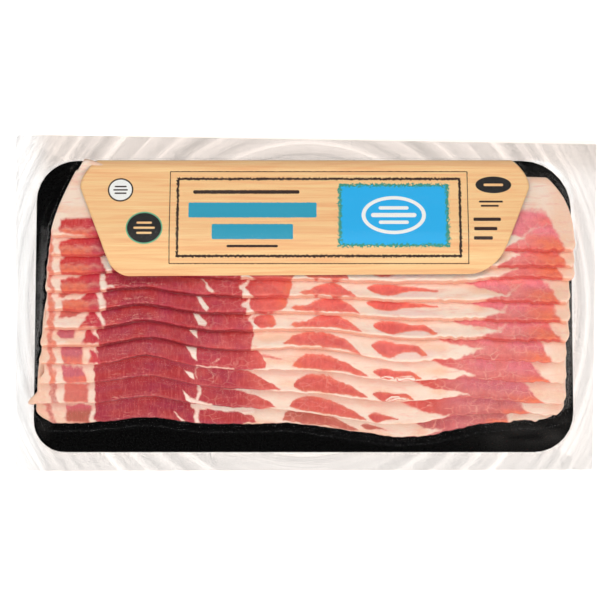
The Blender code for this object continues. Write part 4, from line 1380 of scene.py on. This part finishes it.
class LabelSettings(bpy.types.PropertyGroup):
    """Colours of the printed flap."""

    wood: colour_setting("Wood", "Printed wood", srgb(252, 205, 146))
    wood_streak: colour_setting("Wood streak", "Darker grain", srgb(243, 172, 118))
    wood_pale: colour_setting("Pale wood", "Paler grain", srgb(254, 218, 160))
    ink: colour_setting("Ink", "Dark lines", srgb(52, 34, 26))
    black: colour_setting("Black", "Dark ovals and the flap's inner face", srgb(30, 28, 28))
    teal: colour_setting("Teal", "Worn rim of the blue panel", srgb(60, 150, 130))
    blue: colour_setting("Blue", "Blue panel", srgb(35, 178, 240))
    white: colour_setting("White", "Disc and light bars", srgb(246, 246, 242))
    turquoise: colour_setting("Turquoise", "Wide bars", srgb(44, 160, 190))
    green: colour_setting("Green", "Ring of the dark oval", srgb(110, 180, 140))
    card_edge: colour_setting("Card edge", "Cut edge of the card", srgb(236, 208, 170))


class BoardSettings(bpy.types.PropertyGroup):
    """Colours of the backing board."""

    black: colour_setting("Black", "Coated face", srgb(2, 2, 2))
    worn_black: colour_setting("Worn black", "Grain of the coated face", srgb(6, 6, 6))


class FilmSettings(bpy.types.PropertyGroup):
    """How the film lies and looks."""

    thickness: FloatProperty(name="Thickness", description="Thickness of the upper web",
                             default=0.00012, unit="LENGTH")
    clearance: FloatProperty(name="Clearance", description="Gap between the film and the contents",
                             default=0.00022, unit="LENGTH")
    mesh_step: FloatProperty(name="Mesh step", description="Mesh spacing of the upper web",
                             default=0.00098, unit="LENGTH")
    wrinkle: FloatProperty(name="Wrinkle", description="Height of the wrinkles where it spans free",
                           default=0.0006, unit="LENGTH")
    suction: FloatProperty(name="Suction", description="Pull on the film at each settling step",
                           default=0.16, min=0.0)
    settling_steps: IntProperty(name="Settling steps", description="Steps in which the film settles",
                                default=260, min=1)
    roughness: FloatProperty(name="Roughness", description="Roughness of the film's gloss",
                             default=0.12, min=0.0, max=1.0)
    gloss: FloatProperty(name="Gloss", description="Share of light mirrored by level film",
                         default=0.002, min=0.0, max=1.0)
    grazing_gloss: FloatProperty(name="Grazing gloss", description="Share mirrored by upright film",
                                 default=0.16, min=0.0, max=1.0)
    tint: colour_setting("Tint", "Light that passes the film", (0.998, 0.997, 0.996))
    # Painted shade for the margins, in part the film's warm tint
    veil: colour_setting("Veil", "Light that passes the margins", (0.89, 0.86, 0.84))
    haze: colour_setting("Haze", "Milky margins", srgb(244, 236, 228))


class StageSettings(bpy.types.PropertyGroup):
    """Floor, lights and camera."""

    floor_colour: colour_setting("Floor", "Pale floor", srgb(248, 247, 246))
    floor_glow: FloatProperty(name="Floor glow", description="Light that the floor gives off",
                              default=0.8, min=0.0)
    camera_height: FloatProperty(name="Camera height", description="Height above the floor",
                                 default=1.5, unit="LENGTH")
    view_width: FloatProperty(name="View width", description="Width of floor in view",
                              default=0.2895, unit="LENGTH")
    key_power: FloatProperty(name="Key light", description="Power of the light behind", default=9.2,
                             unit="POWER")
    fill_power: FloatProperty(name="Fill light", description="Power of the light in front",
                              default=18.0, unit="POWER")
    side_power: FloatProperty(name="Side lights", description="Power of the lights at the sides",
                              default=3.6, unit="POWER")
    sky: FloatProperty(name="Sky", description="Brightness all round", default=0.16, min=0.0)


# ---------------------------------------------------------------- operators


class PACK_OT_board(bpy.types.Operator):
    """Finish the backing board and the lower web of film"""

    bl_idname = "bacon_pack.board"
    bl_label = "Board and Lower Web"

    def execute(self, context):
        for node, make in (("board", board_material), ("film_back", backing_material)):
            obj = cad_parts[node]
            obj.data.materials.clear()
            obj.data.materials.append(make())
        return {"FINISHED"}


class PACK_OT_slices(bpy.types.Operator):
    """Build the marbled slices"""

    bl_idname = "bacon_pack.slices"
    bl_label = "Bacon Slices"

    def execute(self, context):
        material = meat_material()
        for index in range(SLICE_COUNT):
            mesh = slice_mesh(index)
            mesh.materials.append(material)
            obj = new_mesh_object(mesh.name, mesh)
            take_place(obj, "bacon", f"slice_{index + 1:02d}")
        return {"FINISHED"}


class PACK_OT_label(bpy.types.Operator):
    """Build the printed label flap"""

    bl_idname = "bacon_pack.label"
    bl_label = "Label Flap"

    def execute(self, context):
        mesh = flap_mesh()
        mesh.materials.append(label_material())
        obj = new_mesh_object(mesh.name, mesh)
        card = obj.modifiers.new("card", "SOLIDIFY")
        card.thickness = FLAP_THICKNESS * MM
        card.offset = 1.0
        card.use_even_offset = True
        take_place(obj, "label", "label_flap")
        return {"FINISHED"}


class PACK_OT_film(bpy.types.Operator):
    """Draw the upper web of film down over the contents"""

    bl_idname = "bacon_pack.film"
    bl_label = "Upper Web"

    def execute(self, context):
        settings = context.scene.bacon_film
        depsgraph = context.evaluated_depsgraph_get()
        names = [f"slice_{index + 1:02d}_meat" for index in range(SLICE_COUNT)] + ["label_flap_printed"]
        contents = [bpy.data.objects[name].evaluated_get(depsgraph).data for name in names]
        mesh = film_mesh(contents)
        mesh.materials.append(film_material())
        obj = new_mesh_object(mesh.name, mesh)
        skin = obj.modifiers.new("skin", "SOLIDIFY")
        skin.thickness = settings.thickness
        skin.offset = 1.0
        take_place(obj, "film", "film_front")
        return {"FINISHED"}


class PACK_OT_stage(bpy.types.Operator):
    """Set up the floor, the lights and the camera"""

    bl_idname = "bacon_pack.stage"
    bl_label = "Floor, Lights and Camera"

    def execute(self, context):
        stage = context.scene.bacon_stage
        bm = bmesh.new()
        bmesh.ops.create_grid(bm, x_segments=1, y_segments=1, size=3.0)
        mesh = bpy.data.meshes.new("floor")
        bm.to_mesh(mesh)
        bm.free()
        mesh.transform(((1, 0, 0, 0), (0, 1, 0, 0), (0, 0, 1, -0.0001), (0, 0, 0, 1)))
        mesh.materials.append(floor_material())
        new_mesh_object("floor", mesh)
        for name, place, size, power in (
            ("back", (-0.1, 0.95, 1.35), (1.5, 0.8), stage.key_power),
            ("front", (0.1, -0.95, 1.35), (1.5, 0.8), stage.fill_power),
            ("left", (-1.05, 0.0, 1.3), (0.8, 1.1), stage.side_power),
            ("right", (1.05, 0.0, 1.3), (0.8, 1.1), stage.side_power),
        ):
            light = bpy.data.lights.new(name, "AREA")
            light.shape = "RECTANGLE"
            light.size, light.size_y = size
            light.energy = power
            lamp = bpy.data.objects.new(name, light)
            context.scene.collection.objects.link(lamp)
            lamp.location = place
            lamp.rotation_euler = (-lamp.location).to_track_quat("-Z", "Y").to_euler()
        world = bpy.data.worlds.new("studio")
        world.use_nodes = True
        world.node_tree.nodes["Background"].inputs["Color"].default_value = (1.0, 1.0, 1.0, 1.0)
        world.node_tree.nodes["Background"].inputs["Strength"].default_value = stage.sky
        context.scene.world = world
        camera = bpy.data.cameras.new("camera")
        camera.sensor_width = 36.0
        camera.lens = camera.sensor_width * stage.camera_height / stage.view_width
        camera.clip_start, camera.clip_end = 0.1, 10.0
        viewer = bpy.data.objects.new("camera", camera)
        context.scene.collection.objects.link(viewer)
        viewer.location = (0.0, -0.0005, stage.camera_height)
        context.scene.camera = viewer
        context.scene.view_settings.view_transform = "Standard"
        return {"FINISHED"}


class PACK_PT_sidebar(bpy.types.Panel):
    """The pack's steps, in the order in which they are built"""

    bl_idname = "PACK_PT_sidebar"
    bl_label = "Bacon Pack"
    bl_space_type = "VIEW_3D"
    bl_region_type = "UI"
    bl_category = "Pack"

    def draw(self, context):
        for group, operators in (
            ("bacon_board", ("bacon_pack.board",)),
            ("bacon_meat", ("bacon_pack.slices",)),
            ("bacon_label", ("bacon_pack.label",)),
            ("bacon_film", ("bacon_pack.film",)),
            ("bacon_stage", ("bacon_pack.stage",)),
        ):
            box = self.layout.box()
            settings = getattr(context.scene, group)
            for key in settings.__annotations__:
                box.prop(settings, key)
            for operator in operators:
                box.operator(operator)


SETTINGS = {
    "bacon_board": BoardSettings, "bacon_meat": MeatSettings, "bacon_label": LabelSettings,
    "bacon_film": FilmSettings, "bacon_stage": StageSettings,
}
OPERATORS = (PACK_OT_board, PACK_OT_slices, PACK_OT_label, PACK_OT_film, PACK_OT_stage)


def register():
    for cls in (*SETTINGS.values(), *OPERATORS, PACK_PT_sidebar):
        bpy.utils.register_class(cls)
    for key, cls in SETTINGS.items():
        setattr(bpy.types.Scene, key, PointerProperty(type=cls))


def unregister():
    for key in SETTINGS:
        delattr(bpy.types.Scene, key)
    for cls in reversed((*SETTINGS.values(), *OPERATORS, PACK_PT_sidebar)):
        bpy.utils.unregister_class(cls)


def main():
    register()
    bpy.ops.bacon_pack.board()
    bpy.ops.bacon_pack.slices()
    bpy.ops.bacon_pack.label()
    bpy.ops.bacon_pack.film()
    bpy.ops.bacon_pack.stage()


if __name__ == "__main__":
    main()
